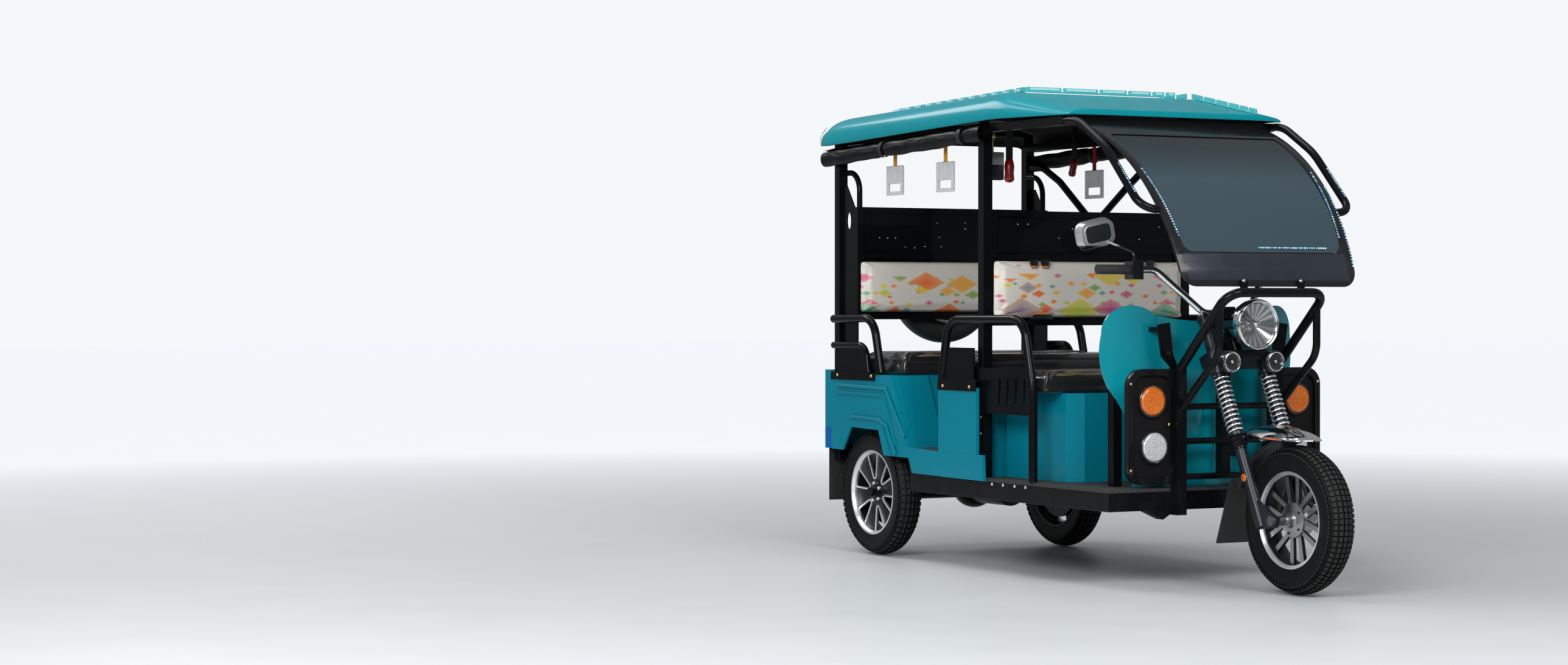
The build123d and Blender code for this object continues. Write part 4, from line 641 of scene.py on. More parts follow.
# Backrest pads: thin foam in off-white vinyl, printed with loose scattered lozenges in bright colours.
pad_middle = 1.012
pale_vinyl, place = finish("printed_vinyl", clear=(0.35, 0.2))
across = place.part(0) * 0.5 + (place.part(1) > 0.6) * 0.37
flat = place.node("CombineXYZ", {0: across, 1: place.part(2)})
hues = [(0.0, (0.8, 0.045, 0.03, 1)), (0.17, (0.95, 0.2, 0.02, 1)), (0.34, (0.95, 0.42, 0.04, 1)),
        (0.48, (0.75, 0.75, 0.06, 1)), (0.62, (0.16, 0.5, 0.08, 1)), (0.76, (0.04, 0.42, 0.42, 1)),
        (0.88, (0.7, 0.1, 0.32, 1))]
print_colour = place.noise(6.0).mix((740, 700, 630), (800, 770, 700))
belt = 1 - (place.part(2) - pad_middle).unsigned().between(0.035, 0.105)
for scale, reach, density in ((29.0, 0.3, 0.8), (16.0, 0.36, 0.75), (8.6, 0.42, 0.62)):
    cell = flat.node("TexVoronoi", {"Vector": flat, "Scale": scale, "Randomness": 0.8}, distance="MANHATTAN",
                     voronoi_dimensions="2D")
    tint = Wire(cell.tree, cell.socket.node.outputs["Color"])
    share, chance, hue = [tint.node("SeparateColor", {0: tint}, channel) for channel in range(3)]
    blot = (cell < share * reach * 0.4 + reach * 0.6) * (chance < belt * density)
    faded = (cell * (0.6 / reach) - 0.1).mix(hue.node("ValToRGB", {0: hue}, stops=hues), (950, 620, 250))
    print_colour = (blot * 0.95).mix(print_colour, faded)
rumple = place.noise(14.0, 4.0)
place.wear(Base_Color=print_colour, Roughness=rumple * 0.2 + 0.32, Normal=rumple.bump(0.25, 0.004))
for name in ("mid", "rear"):
    low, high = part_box(f"{name}_backrest_pad")
    pad = stuffed(f"{name}_pad_stuffed", (low.x + 0.004, low.y + 0.007, low.z + 0.004),
                  (high.x - 0.004, high.y, high.z - 0.004), 0.01, 0.007, 0.007,
                  lambda co, back=high.y: co.y > back - 0.008)
    settle(pad, pale_vinyl, "chassis", 60)
    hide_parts(f"{name}_backrest_pad")

# Pad clips: small folded black clips with an orange foot, two on top of the middle pad and a wide one
# below it, which hold the vinyl to the board's tubes.
clips = []
clip_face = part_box("mid_backrest_pad")[0].y - 0.0025
for z, top, foot, rise, x_values in ((1134.5, 21, 12, -30, (-262, -214, 205, 253)), (916, 50, 30, 24, (-226, 230))):
    for x in x_values:
        clips.append(plate("clip", [(x - top, z), (x - foot, z + rise), (x + foot, z + rise), (x + top, z)], 0, 5, 1))
        clips[-1].data.transform(Matrix(((1, 0, 0, 0), (0, 0, -1, clip_face), (0, 1, 0, 0), (0, 0, 0, 1))))
clip_paint, place = finish("clip_black_and_orange", clear=(0.3, 0.03))
rise = place.part(2)
tip = (rise > 1.1) * (rise < 1.1115) + (rise < 1.0) * (rise > 0.9345)
place.wear(Base_Color=tip.mix(place.noise(50.0).mix((6, 6, 7), (12, 12, 13)), (800, 220, 20)),
           Roughness=place.noise(60.0) * 0.15 + 0.3)
settle(outward(joined("pad_clips", clips)), clip_paint, "chassis")

# Roof: one pressed shell in brighter teal gloss, with rounded shoulders and a turned hem, falling away
# behind and ahead of a ridge. Its underside is near black.
roof_teal, place = finish("roof_teal_gloss", clear=(0, 0.1), shine=0.05)
cloud = place.noise(2.4)
shoulder = place.part(0).unsigned().between(0.4, 0.46)
cloud.cover((3, 225, 272), (5, 265, 318), 0.1, 0.24, Coat_Weight=shoulder * 0.24 + 0.04,
            Normal=place.noise(260.0, 2.0).bump(0.03, 0.0008))
# The underside's colour is near black, with a fine grain.
dark_underside = clouded("near_black_underside", (6, 6, 7), (16, 16, 17), (500.0, 2.0), (0.2, 0.6), bump=(0.3, 0.0006))
# y, then (x, z) of the hem, the shoulder and the crown's edge
roof_rows = ((1.3415, 0.474, 1.604, 0.452, 1.6185, 0.378, 1.619), (1.34, 0.476, 1.604, 0.454, 1.638, 0.379, 1.65),
             (1.3, 0.503, 1.597, 0.472, 1.668, 0.385, 1.686), (1.224, 0.5045, 1.598, 0.47, 1.685, 0.38, 1.7025),
             (0.02, 0.5045, 1.636, 0.47, 1.716, 0.37, 1.7375), (-0.3985, 0.46, 1.63, 0.455, 1.642, 0.38, 1.6515),
             (-0.4, 0.46, 1.63, 0.453, 1.631, 0.38, 1.632))
hem_front, roof_front, roof_rear, hem_rear = -0.4, -0.3985, 1.34, 1.3415
crown_share = 0.4


def roof_row(y):
    """The section at a place along the roof, with its bends eased."""
    ease = min(0.05, max(0.0, roof_rear - y), max(0.0, y - roof_front))
    parts = []
    for spot in (y - ease, y - ease / 2, y, y + ease / 2, y + ease):
        for rear, front in zip(roof_rows, roof_rows[1:]):
            if front[0] <= spot <= rear[0]:
                share = (spot - front[0]) / (rear[0] - front[0])
                parts.append([a + (b - a) * share for a, b in zip(front[1:], rear[1:])])
                break
    return [sum(values) / len(parts) for values in zip(*parts)]


def eased(share, first, pull, last):
    """A place on a curve that leaves first towards pull and ends at last."""
    return (1 - share) ** 2 * first + 2 * share * (1 - share) * pull + share ** 2 * last


roof = start(bpy.ops.mesh.primitive_grid_add, "roof_pressed", x_subdivisions=40, y_subdivisions=72, size=2)
stations = sorted({round(vertex.co.y, 5) for vertex in roof.data.vertices})
spread = ([hem_front, roof_front] + [roof_front + (roof_rear - roof_front) * n / 70 for n in range(1, 70)]
          + [roof_rear, hem_rear])
station_y = dict(zip(stations, spread))
for vertex in roof.data.vertices:
    y = station_y[round(vertex.co.y, 5)]
    across = abs(vertex.co.x)
    hem_x, hem_z, bend_x, bend_z, crown_x, crown_z = roof_row(y)
    pull_x = 2 * bend_x - (hem_x + crown_x) / 2
    pull_z = 2 * bend_z - (hem_z + crown_z) / 2
    if across < crown_share:
        x, z = crown_x * across / crown_share, crown_z
    else:
        share = (across - crown_share) / (1 - crown_share)
        x = eased(share, crown_x, min(pull_x, hem_x + 0.001), hem_x)
        z = eased(share, crown_z, pull_z, hem_z)
    vertex.co = (math.copysign(x, vertex.co.x), y, z)
roof.data.materials.append(roof_teal)
roof.data.materials.append(dark_underside)
modify(roof, "SOLIDIFY", thickness=0.008, offset=-1, material_offset=1)
modify(roof, "BEVEL", width=0.003, segments=2, limit_method="ANGLE", angle_limit=math.radians(50))
settle(roof, None, "chassis", 50)
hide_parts("roof_shell")

# Blocks along the crown's edges: moulded teal plastic, each with a paler raised panel on its face.
moulded = clouded("moulded_teal", (20, 380, 420), (100, 550, 580), (16.0,), (0.12, 0.28), clear=(0.5, 0.15))
dress(moulded, "roof_edge_blocks")
soften(0.0015, "roof_edge_blocks")
pale_panel = clouded("pale_panel", (220, 620, 660), (620, 820, 840), (90.0, 3.0), (0.2, 0.3), clear=(0.4, 0.03))
ridge_y, ridge_z = 0.02, 1.738
crown_edge = -0.3665


def crown_height(y):
    """The roof's top at a place along the vehicle."""
    return ridge_z - (0.03 / 1.204 * (y - ridge_y) + 0.0041 if y > ridge_y else 0.086 / 0.42 * (ridge_y - y))


panels = []
for n in range(12):
    y = ridge_y + 0.078 * n + 0.05
    panels.append(((crown_edge, y, crown_height(y) + 0.0125), (0.0008, 0.038, 0.008)))
for low, high in ((-0.35, -0.205), (-0.193, -0.045), (-0.033, 0.082), (0.094, 0.19), (0.202, 0.25), (0.262, 0.3)):
    panels.append((((low + high) / 2, ridge_y + 0.0055, 1.7505), (high - low - 0.018, 0.0008, 0.008)))
tabs = [block(f"tab_{n}", spot, size, 0.0003) for n, (spot, size) in enumerate(panels)]
settle(joined("edge_block_panels", tabs), pale_panel, "chassis")

# Rolled side curtains: black leathercloth wound up under the roof's hem, creased where it bulges
# between two webbing ties.
roll_turns = 2.7
roll_core, roll_radius = 0.009, 0.0282
roll_ties = (0.26, 0.83)
roll_ends = ((0.4835, 0.122, 1.5955), (0.4835, 1.293, 1.5515))
leathercloth, place = finish("black_leathercloth", clear=(0.16, 0.16), shine=0.1)
crease = place.node("Mapping", {"Vector": place, "Scale": (9.0, 2.5, 9.0)}).noise(4.0, 6.0, Distortion=1.2)
crease.cover((2, 2.5, 3), (6, 6.5, 7), 0.2, 0.36, Normal=(crease + place.noise(700.0, 2.0) * 0.06).bump(0.9, 0.012))
ties = []
for side, sign in (("right", -1), ("left", 1)):
    cloth = start(bpy.ops.mesh.primitive_grid_add, f"curtain_{side}", x_subdivisions=72, y_subdivisions=110, size=2)
    front, rear = [Vector((sign * x, y, z)) for x, y, z in roll_ends]
    run = rear - front
    for vertex in cloth.data.vertices:
        wind, along = (vertex.co.x + 1) / 2, (vertex.co.y + 1) / 2
        spot = front + run * along
        pinch = 1 - 0.26 * sum(math.exp(-((spot.y - tie) / 0.034) ** 2) for tie in roll_ties)
        crease = 0.07 * math.sin(spot.y * 31 + 5 * wind) * math.sin(spot.y * 13 + sign + 9 * wind)
        ripple = 0.022 * math.sin(23 * wind + 31 * spot.y) - 0.02
        radius = (roll_core + (roll_radius - roll_core) * wind) * pinch * (1 + crease + ripple)
        turn = math.tau * roll_turns * wind + 2.2
        sag = 1.09 if math.cos(turn) > 0 else 1.4
        vertex.co = spot + Vector((math.sin(turn) * radius * 0.93 * sign, 0, math.cos(turn) * radius * sag))
    modify(cloth, "SOLIDIFY", thickness=0.0012)
    settle(cloth, leathercloth, "chassis", 60)
    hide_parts("curtain_rolls")
    for tie in roll_ties:
        middle = front + run * ((tie - front.y) / run.y) - Vector((0, 0, 0.004))
        ties.append(aim(middle, run) @ Matrix.Diagonal((1.0, 1.27, 1, 1)))
webbing, place = finish("black_webbing")
rib = place.part(1).wave(2600)
rib.cover((8, 8, 9), (20, 20, 21), 0.15, 0.5, Normal=rib.bump(0.4, 0.0005))
spun("curtain_ties", [(22.6, -11), (24, -11.2), (24, 11.2), (22.6, 11)], 32, ties, webbing,
     "chassis", closed=True)

# Grab handles: clear moulded plastic grips on webbing straps, yellow on the right side and red on the left.
grip_top = 1.502
handle, place = finish("handle_and_strap")
strap = place.part(2) > grip_top - 0.001
thread = place.part(2).wave(2800)
web = (place.part(0) > 0).mix(thread.mix((620, 270, 8), (800, 400, 20)), thread.mix((420, 12, 8), (580, 30, 20)))
haze = place.noise(30.0, 3.0)
place.wear(Base_Color=strap.mix(haze.mix((520, 560, 570), (800, 830, 840)), web),
           Roughness=strap * 0.4 + haze * 0.08 + 0.08, Coat_Weight=1 - strap,
           Alpha=strap.sum("MAXIMUM", strap, haze * 0.3 + 0.52))
dress(handle, "grab_handles")
soften(0.0022, "grab_handles")

# Headlamp: a black bucket with a chromed bezel and a fluted, silvered bowl behind a clear domed glass.
lamp_centre = Vector((0, -0.869, 0.902))
bowl_radius = 0.0745
bucket, place = finish("headlamp_metal", clear=(0.5, 0.03))
arm = place.vector("SUBTRACT", lamp_centre)
radial = arm.vector("MULTIPLY", (1, 0, 1)).length()
flutes = arm.sum("ARCTAN2", arm.part(0), arm.part(2)).wave(18)
plated = (arm.part(1) < 0.0275) * ((radial > bowl_radius) + (arm.part(1) < 0.0345) > 0.5)
bowl = radial < bowl_radius
# The silvered bowl's colour is painted in light and dark stripes along its flutes, and darker than the bezel's
# plating: painted reflections and painted shade inside the bowl.
bowl_painted_light = (flutes * 0.5 + 0.5).mix((160, 170, 190), (580, 590, 610))
place.wear(Base_Color=plated.mix((8, 8, 9), bowl.mix((800, 810, 820), bowl_painted_light)), Metallic=plated,
           Roughness=plated * -0.1 + place.noise(40.0) * 0.08 + 0.17,
           Normal=(flutes * bowl * 0.5 + place.noise(6.0) * 0.5).bump(0.03, 0.002))
dress(bucket, "headlamp")
lens_glass, place = finish("lamp_glass", clear=(0.6, 0.02))
place.wear(Base_Color=place.noise(20.0).mix((300, 320, 340), (420, 440, 450)),
           Roughness=place.noise(30.0) * 0.04 + 0.02, Alpha=place.noise(12.0) * 0.06 + 0.07)
dress(lens_glass, "headlamp_lens")
spun("bulb_shield", [(0, -6), (8, -5), (12.5, 0), (13.5, 12), (11.5, 28), (0, 30)],
     28, [aim(lamp_centre + Vector((0, 0.004, 0)), (0, 1, 0))], chrome, "steering")
spun("headlamp_bezel", [(78.5, -4.5), (81.5, -6.2), (84.5, -4.5), (86.8, 0), (87.2, 12),
                        (86.2, 20), (85.5, 6), (77.5, 0)], 72, [aim(lamp_centre, (0, 1, 0))],
     chrome, "steering", closed=True)

# Horns: two black discs with a shallow grille cone, a chromed ring and a screw in the middle.
gloss_black = clouded("gloss_black", (6, 6, 7), (14, 14, 15), (40.0, 4.0), (0.16, 0.24), clear=(0.8, 0.06))
dress(gloss_black, "horns", "bar_controls")
horns = [aim((x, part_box("horns")[0].y, 0.775), (0, -1, 0)) for x in (-0.092, 0.092)]
spun("horn_cones", [
    (0, 3.5), (9.5, 3.5), (10.5, 0), (12.5, -0.5), (24, 0.8), (27.5, 5),
    (31, 5.2), (34, 2), (37.2, 0.8), (37.8, 0)], 48, horns, gloss_black, "steering")
spun("horn_rings", [(29.2, 5), (30, 6.8), (31.8, 7.5), (33.4, 6.6), (34, 4)], 48, horns, chrome, "steering")
spun("horn_screws", [(0, 6.2), (3.2, 6), (5, 5), (5.6, 3)], 12, horns, chrome, "steering")

# Mirrors: silver painted shells on thin black stems, with a dark glass let into a rounded rim.
silver, place = finish("silver_shell", clear=(0.8, 0.08), metal=0.7)
cloud = place.noise(20.0, 3.0)
stem = place.part(2) < 1.172
place.wear(Base_Color=stem.mix(cloud.mix((500, 510, 520), (620, 630, 640)), (12, 12, 13)),
           Roughness=cloud * 0.1 + 0.26)
dress(silver, "mirrors")
soften(0.003, "mirrors")
dark_glass = clouded("dark_mirror_glass", (12, 14, 16), (30, 34, 38), (8.0,), (0.04, 0.03), (20.0,), clear=(1.0, 0.01))
glass_round = 18
outline = []
for quarter, (cx, cy) in enumerate(((34, 11), (-34, 11), (-34, -11), (34, -11))):
    for step in range(7):
        turn = math.pi / 2 * (quarter + step / 6)
        outline.append((cx + glass_round * math.cos(turn), cy + glass_round * math.sin(turn)))
pane = plate("mirror_glass", outline, 0, 1.2)
rim = ribbon("mirror_rims", [(x * 1.045, y * 1.08) for x, y in outline + outline[:1]], 4.2, 0, 2.6, 0.8)
mirrors = [aim((0.398 * side, -0.494, 1.215), (0, -1, 0), math.radians(-12 * side)) for side in (-1, 1)]
settle(copies(pane, mirrors), dark_glass, "steering")
settle(copies(rim, mirrors), silver, "steering", 30)

# Windscreen: a black moulded frame, its deep lower panel dark grey, round one tinted pane.
moulding, place = finish("screen_moulding", clear=(0.25, 0.08), shine=0.2)
cloud = place.noise(18.0, 3.0)
panel = (place.part(2) < 1.142) * (place.part(2) > 1.052) * (place.part(0).unsigned() < 0.338)
place.wear(Base_Color=panel.mix(cloud.mix((7, 8, 9), (13, 14, 16)),
                                cloud.mix((18, 23, 31), (24, 30, 40))), Roughness=cloud * 0.14 + 0.2)
dress(moulding, "windscreen_frame")
soften(0.0045, "windscreen_frame")
tinted, place = finish("tinted_glass", clear=(0, 0.02), shine=0.2)
# Towards its top the pane is painted darker, with a weaker clear coat and more roughness: painted shade under the
# roof's front.
painted_roof_shade = place.part(2).between(1.4, 1.55)
place.wear(Base_Color=painted_roof_shade.mix((36, 62, 78), (4, 9, 12)),
           Roughness=place.noise(25.0) * 0.03 + 0.03 + painted_roof_shade * 0.05, Alpha=0.985 - painted_roof_shade * 0.03,
           Coat_Weight=0.4 - painted_roof_shade * 0.34)
screen_hub = Vector((0, -0.1534, 0.8173))
screen_radius = 0.8149


def on_screen(x, z, lift):
    """A point on the curved screen's outer face, and the way it faces."""
    rise = (z - screen_hub.z) / screen_radius
    out = Vector((0, -math.sqrt(1 - rise ** 2), rise))
    return Vector((x, screen_hub.y, screen_hub.z)) + out * (screen_radius + lift), out


def lofted(name, rows, wall):
    """A thin sheet laid through rows of points, thickened on its inner side."""
    piece = start(bpy.ops.mesh.primitive_grid_add, name, x_subdivisions=len(rows[0]) - 1,
                  y_subdivisions=len(rows) - 1, size=2)
    order = sorted(piece.data.vertices, key=lambda vertex: (round(vertex.co.y, 4), vertex.co.x))
    for vertex, spot in zip(order, [spot for row in rows for spot in row]):
        vertex.co = spot
    modify(piece, "SOLIDIFY", thickness=wall, offset=-1)
    return piece


pane_low, pane_high, pane_corner = 1.1465, 1.5595, 0.034
pane_rows = []
for z in ([pane_low + step for step in (0.0, 0.0015, 0.005, 0.01, 0.018, 0.027)]
          + [pane_low + pane_corner + (pane_high - pane_low - pane_corner) * n / 22 for n in range(23)]):
    reach = 0.33 + 0.015 * (z - 1.146) / 0.154 if z < 1.3 else 0.345 + 0.007 * (z - 1.3) / 0.26
    cut = max(0.0, pane_corner - (z - pane_low))
    reach -= 0.0006 + pane_corner - math.sqrt(pane_corner ** 2 - cut ** 2)
    pane_rows.append([on_screen(reach * n / 8, z, 0.002)[0] for n in range(-8, 9)])
screen_pane = lofted("screen_pane", pane_rows, 0.004)
settle(screen_pane, tinted, "chassis")
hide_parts("windscreen_glass")

# Bead trims: rows of small cut-glass beads in white, blue and green, strung along the pane's edges, the
# lower halves of the visor tubes, the far side of the screen and the roof's rear corners.
bead_glass, place = finish("bead_glass", clear=(1.0, 0.02))
pick = place.node("TexVoronoi", {"Vector": place, "Scale": 95.0, "Randomness": 1.0}, "Color")
pick = pick.node("SeparateColor", {0: pick}, 0)
bead_colours = [(0.0, (0.75, 0.86, 0.95, 1)), (0.42, (0.1, 0.42, 0.75, 1)), (0.62, (0.03, 0.1, 0.3, 1)),
                (0.76, (0.04, 0.45, 0.35, 1)), (0.9, (0.55, 0.75, 0.8, 1))]
place.wear(Base_Color=pick.node("ValToRGB", {0: pick}, stops=bead_colours), Roughness=place.noise(200.0) * 0.1 + 0.06)


def strung(path, pitch):
    """Evenly spaced places along a run of points, with the way each faces."""
    spots, left = [], 0.0
    for (a, facing), (b, _) in zip(path, path[1:]):
        run = (b - a).length
        while left < run:
            spots.append(aim(a + (b - a) * (left / run), facing))
            left += pitch
        left -= run
    return spots


bead = start(bpy.ops.mesh.primitive_ico_sphere_add, "bead_trims", subdivisions=1, radius=0.0045)
edit(bead, "VERT")
bpy.ops.transform.resize(value=(1, 1, 0.7))
edit(bead, "EDGE")
bpy.ops.mesh.bevel(offset=0.0007, segments=1, affect="EDGES")
shut()
bead_pitch = 0.0105
tube_side = Vector((0, -0.717, 0.697))
beads = []
for side in (-1, 1):
    pane_edge = [(0.333 + 0.097 * (z - 1.146), z) for z in [1.2 + 0.033 * n for n in range(8)]]
    beads += strung([on_screen(side * x, z, 0.006) for x, z in pane_edge], bead_pitch)
    beads += strung([(Vector((side * 0.445, y, z)) + tube_side * 0.0135, tube_side)
                     for y, z in ((-0.672, 1.439), (-0.771, 1.337))], bead_pitch)
beads += strung([on_screen(x, 1.16, 0.006) for x in (-0.02, 0.13, 0.27)], 0.0098)
beads += strung([on_screen(0.36 + 0.0519 * (z - 1.03), z, 0.007) for z in [1.1 + 0.035 * n for n in range(9)]], 0.0118)
for y, lift in ((1.165, 0.003), (0.9, 0.012)):
    beads += [aim((crown_edge - 0.01 * lane, y + bead_pitch * n, crown_height(y) + lift - 0.4 * lift * lane),
                  (-0.6, 0, 0.8)) for n in range(-5, 6) for lane in (0, 1)]
corner = ((-0.4745, 1.3, 1.6705), (-0.497, 1.3, 1.641), (-0.5045, 1.3, 1.6075))
beads += strung([(Vector(spot), (-0.75, 0.6, 0.25)) for spot in corner], bead_pitch)
settle(copies(bead, beads), bead_glass, "chassis", 20)

# Bolt heads: bright domed screws through the panels, plates and lamp boards.
bolt_face = [(0.0, 0.62), (0.35, 0.6), (0.72, 0.46), (0.92, 0.24), (1.0, 0.0)]
brass = clouded("plated_brass", (620, 470, 200), (780, 640, 340), (60.0,), (0.2, 0.2), (80.0,), metal=1)
side_bolts = [(0.4975, y, z) for y, z in ((0.905, 0.694), (1.17, 0.694), (0.19, 0.67), (0.375, 0.67))]
side_bolts += [(0.4585, 0.173, z) for z in (0.56, 0.64, 0.5)]
bolts = []
for side in (-1, 1):
    bolts += [aim((x * side, y, z), (side, 0, 0), size=6.2) for x, y, z in side_bolts]
    bolts += [aim((x * side, -0.6895, z), (0, -1, 0), size=5.5)
              for x, z in ((0.398, 0.7), (0.398, 0.405), (0.24, 0.56))]
spun("brass_bolts", bolt_face, 10, bolts, brass, "chassis", 60)

# Board studs and deck bolts: small plated pins on the backrests' boards, and round heads along the deck's edge.
studs = []
for node, places in (
    ("rear_backrest", ((-0.437, 1.3), (-0.414, 1.242), (-0.339, 1.234), (-0.302, 1.233), (-0.266, 1.233),
                       (-0.221, 1.198), (-0.178, 1.195), (-0.132, 1.201), (-0.055, 1.201), (-0.074, 1.295),
                       (-0.064, 1.238), (0.057, 1.297), (0.058, 1.273), (0.18, 1.24), (0.262, 1.205), (0.35, 1.29))),
    ("mid_backrest", ((-0.3, 1.265), (-0.255, 1.265), (-0.12, 1.215), (-0.06, 1.25), (0.05, 1.215),
                      (0.12, 1.265), (0.24, 1.215), (0.33, 1.262))),
):
    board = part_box(node)[0].y + 0.0098
    studs += [aim((x, board, z), (0, -1, 0), size=3.4) for x, z in places]
deck_side = 0.0002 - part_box("chassis_frame")[0].x
studs += [aim((side * deck_side, y, 0.322), (side, 0, 0), size=5.8)
          for side in (-1, 1) for y in (0.061, -0.012, -0.089, -0.16)]
spun("board_studs", bolt_face, 8, studs, chrome, "chassis", 60)

# Lower screen bolts: two bright caps that hold the screen to the tabs on the hoop.
screen_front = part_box("windscreen_frame")[0].y - 0.0005
caps = [aim((x, screen_front, 1.048), (0, -0.95, -0.3), size=8.5) for x in (-0.12, 0.12)]
spun("screen_bolts", bolt_face, 14, caps, chrome, "chassis", 60)

# Lamp panels: moulded black plastic, a shiny round-edged rim about a duller plate.
lamp_black, place = finish("lamp_panel_black", clear=(0, 0.05), shine=0.15)
raised = place.part(1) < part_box("lamp_panels")[0].y + 0.011
cloud = place.noise(40.0, 3.0)
place.wear(Base_Color=cloud.mix((3.5, 3.5, 4), (7, 7, 8)),
           Roughness=cloud * 0.1 + 0.46 - raised * 0.26, Coat_Weight=raised * 0.55)
dress(lamp_black, "lamp_panels")
soften(0.0045, "lamp_panels")

# Round lamps: amber and clear lenses pressed with a grid of small pips, each pip painted bright in its middle and
# darker at its edge: painted light standing in for the bright lamp bowl behind the lens.
def pressed(name, dark, light):
    """A moulded lens with rows of pips."""
    material, place = finish(name, clear=(1.0, 0.03))
    pips = place.node("TexVoronoi", {"Vector": place, "Scale": 150.0, "Randomness": 0.25})
    ring = place.node("TexVoronoi", {"Vector": place, "Scale": 42.0, "Randomness": 0.9})
    # Each pip's colour runs from the light tone in its middle to the dark one at its edge: painted glints over the
    # lens's own colour.
    place.wear(Base_Color=(pips * 1.4).mix(light, dark), Roughness=ring * 0.15 + 0.1, Normal=pips.bump(0.6, 0.0015))
    return material


amber = pressed("amber_lens", (420, 55, 2), (950, 300, 20))
dress(amber, "turn_lamps")
dress(pressed("clear_lens", (300, 310, 320), (880, 890, 900)), "marker_lamps")
dress(pressed("red_lens", (200, 4, 4), (620, 20, 20)), "tail_lamps")
lens_rims = [aim((side * x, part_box(node)[0].y + 0.012, z), (0, -1, 0))
             for node, x, z in (("turn_lamps", 0.308, 0.64), ("marker_lamps", 0.3, 0.483)) for side in (-1, 1)]
spun("lens_rims", [(50.2, -10), (50.2, 4), (51.2, 6.2), (53.5, 6.6), (55.2, 5),
                   (55.6, -10)], 48, lens_rims, gloss_black, "chassis", closed=True)

# Things that hang by the middle pillar: a small black meter with a blank pale band on a brass rod, a red
# pull handle on a strap, and the same red handle on the far side.
hung = [coat(block(name, spot, size, edge, 3), paint) for name, spot, size, edge, paint in (
    ("meter", (-0.296, 0.35, 1.485), (0.084, 0.034, 0.104), 0.006, gloss_black),
    ("meter_band", (-0.296, 0.3325, 1.5125), (0.078, 0.002, 0.046), 0.0006, silver),
    ("meter_rod", (-0.296, 0.35, 1.629), (0.008, 0.008, 0.186), 0.003, brass),
    ("meter_knob", (-0.296, 0.35, 1.6), (0.022, 0.022, 0.03), 0.009, brass),
    ("pull_strap", (-0.221, 0.352, 1.6145), (0.03, 0.003, 0.224), 0.001, webbing),
    ("far_strap", (0.405, 0.85, 1.628), (0.024, 0.003, 0.166), 0.001, webbing),
)]
settle(joined("hung_meter", hung), None, "chassis", 40)
red_grip = clouded("red_grip", (300, 8, 6), (450, 15, 10), (30.0,), (0.1, 0.3), (40.0,), clear=(0.6, 0.1))
grips = [aim((-0.221, 0.352, 1.47), (0, 0, 1)), aim((0.405, 0.86, 1.515), (0, -0.3, 1), size=0.8)]
spun("pull_grips", [(0, -45), (12, -43), (19, -34), (17, -10), (19, 15), (15, 36),
                    (7, 44), (0, 45)], 20, grips, red_grip, "chassis", 60)

# Rubber parts: ribbed handlebar grips and the three mud flaps.
rubber, place = finish("soft_rubber")
grit = place.noise(55.0, 4.0)
grit.cover((12, 12, 13), (28, 28, 29), 0.2, 0.5, Normal=(place.part(0).wave(1400) * 0.5 + grit).bump(0.3, 0.0012))
dress(rubber, "grips", "front_mud_flap", "rear_mud_flaps")

# Bright and bare metal: the handlebar is chromed, and so is the front fender's domed helmet, which sits on a
# narrower black mudguard held by two stays. The front axle is bare steel.
dress(chrome, "handlebar")
helmet_front, helmet_length = -1.172, 0.367
helmet_rows = []
for n in range(25):
    y = helmet_front + helmet_length * n / 24
    crown = 0.563 - (1.24 * (y + 0.99) ** 2 if y < -0.99 else 2.8 * max(0.0, y + 0.93) ** 2)
    nose = max(0.0, 0.075 - (y + 1.1722)) / 0.075
    tail = max(0.0, (y + 0.805) + 0.11) / 0.11
    reach = 0.067 * math.sqrt(1 - nose ** 2.2)
    brim = 0.516 - 0.022 * tail ** 2
    shares = [math.sin(math.pi / 2 * step / 10) for step in range(-10, 11)]
    helmet_rows.append([(reach * share, y, brim + (crown - brim) * max(0.0, 1 - abs(share) ** 2.3) ** 0.62)
                        for share in shares])
helmet = lofted("fender_helmet", helmet_rows, 0.002)
settle(helmet, chrome, "steering", 50)
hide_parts("front_fender")
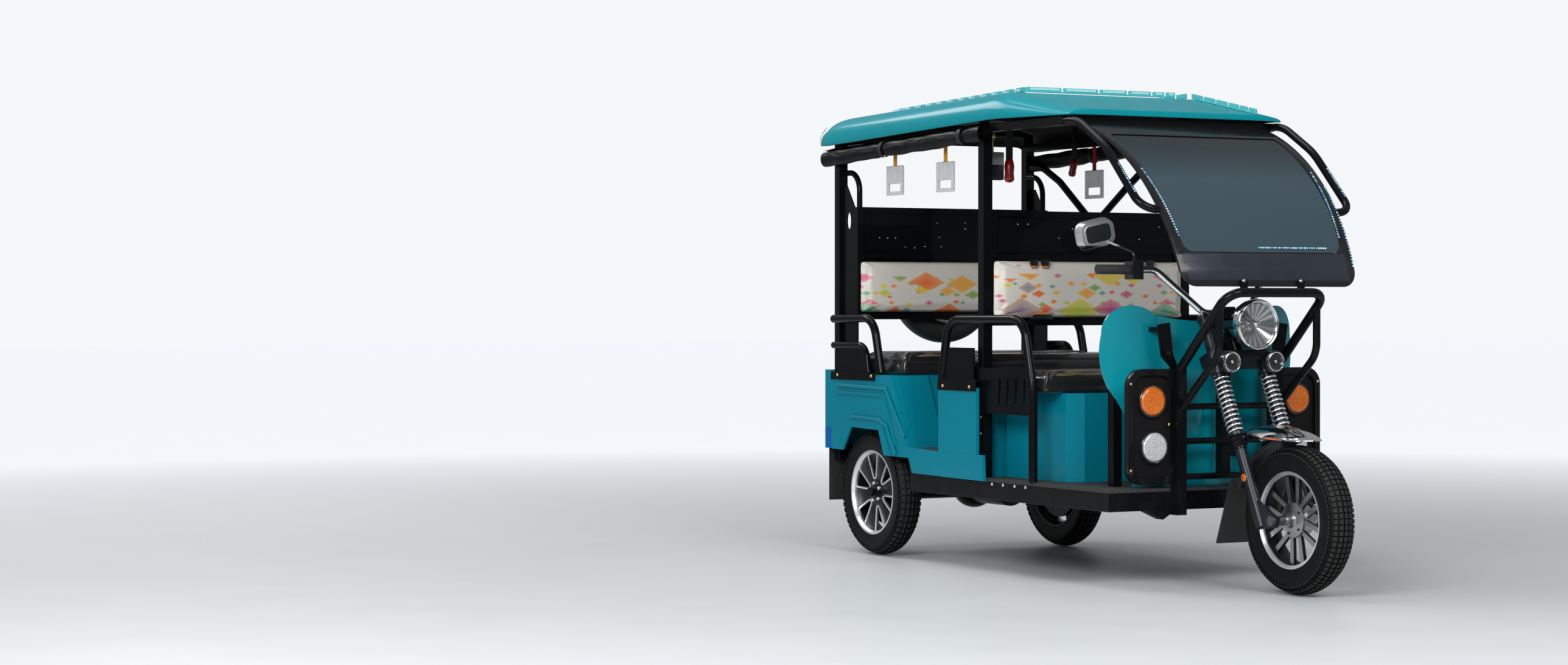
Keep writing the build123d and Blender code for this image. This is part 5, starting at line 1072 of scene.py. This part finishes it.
guard_rows = []
for n in range(25):
    turn = math.radians(20 + 58 * n / 24)
    radii = [(step, 0.2745 - 0.0085 * (step / 6) ** 4) for step in range(6, -7, -1)]
    guard_rows.append([(0.0655 * step / 6, front_hub[1] + radius * math.cos(turn),
                        front_hub[2] + radius * math.sin(turn)) for step, radius in radii])
settle(lofted("fender_mudguard", guard_rows, 0.0025), fork_black, "steering", 50)
stays = []
for side in (-1, 1):
    stays.append(plate("stay", [(-900, 522), (-888, 470), (-868, 456), (-812, 452), (-800, 464),
                                (-802, 505), (-840, 522)], 0, 3, 0.8))
    stays[-1].data.transform(sideways(side, 0.0662))
settle(outward(joined("fender_stays", stays)), enamel, "steering")
lugs = [aim((0.068 * side, -0.892, 0.5), (side, 0, 0)) for side in (-1, 1)]
spun("stay_lugs", [(0, 0), (8, 0), (8, 16), (0, 16)], 16, lugs, enamel, "steering")
bolts = [aim((0.0692 * side, y, z), (side, 0, 0), size=4.8)
         for side in (-1, 1) for y, z in ((-0.868, 0.472), (-0.826, 0.498), (-0.88, 0.508))]
spun("stay_bolts", bolt_face, 10, bolts, chrome, "steering", 60)
spun("fork_reflectors", [(0, 3.5), (10, 3.3), (12.5, 2), (13.5, 0), (0, 0)], 20,
     on_legs(0.15, out=0.0195), amber, "steering")
dress(clouded("bare_steel", (100, 100, 110), (300, 300, 310), (12.0,), (0.2, 0.32), (25.0,), metal=1), "front_axle")
dress(enamel, "rear_axle", "leaf_springs")

# Spare wheel: the same rubber on a plain black rim, its lip turned bright.
spare, place = finish("spare_wheel_finish")
radial = place.vector("SUBTRACT", (0, 1.188, 1.06)).vector("MULTIPLY", (1, 0, 1)).length()
bright = (radial < 0.163) * (radial > 0.152)
grain = place.noise(70.0, 4.0)
place.wear(Base_Color=bright.mix(grain.mix((10, 10, 11), (26, 26, 27)), (600, 600, 610)),
           Metallic=bright, Roughness=grain * 0.25 + 0.45 - bright * 0.25, Normal=grain.bump(0.1, 0.0008))
dress(spare, "spare_wheel")
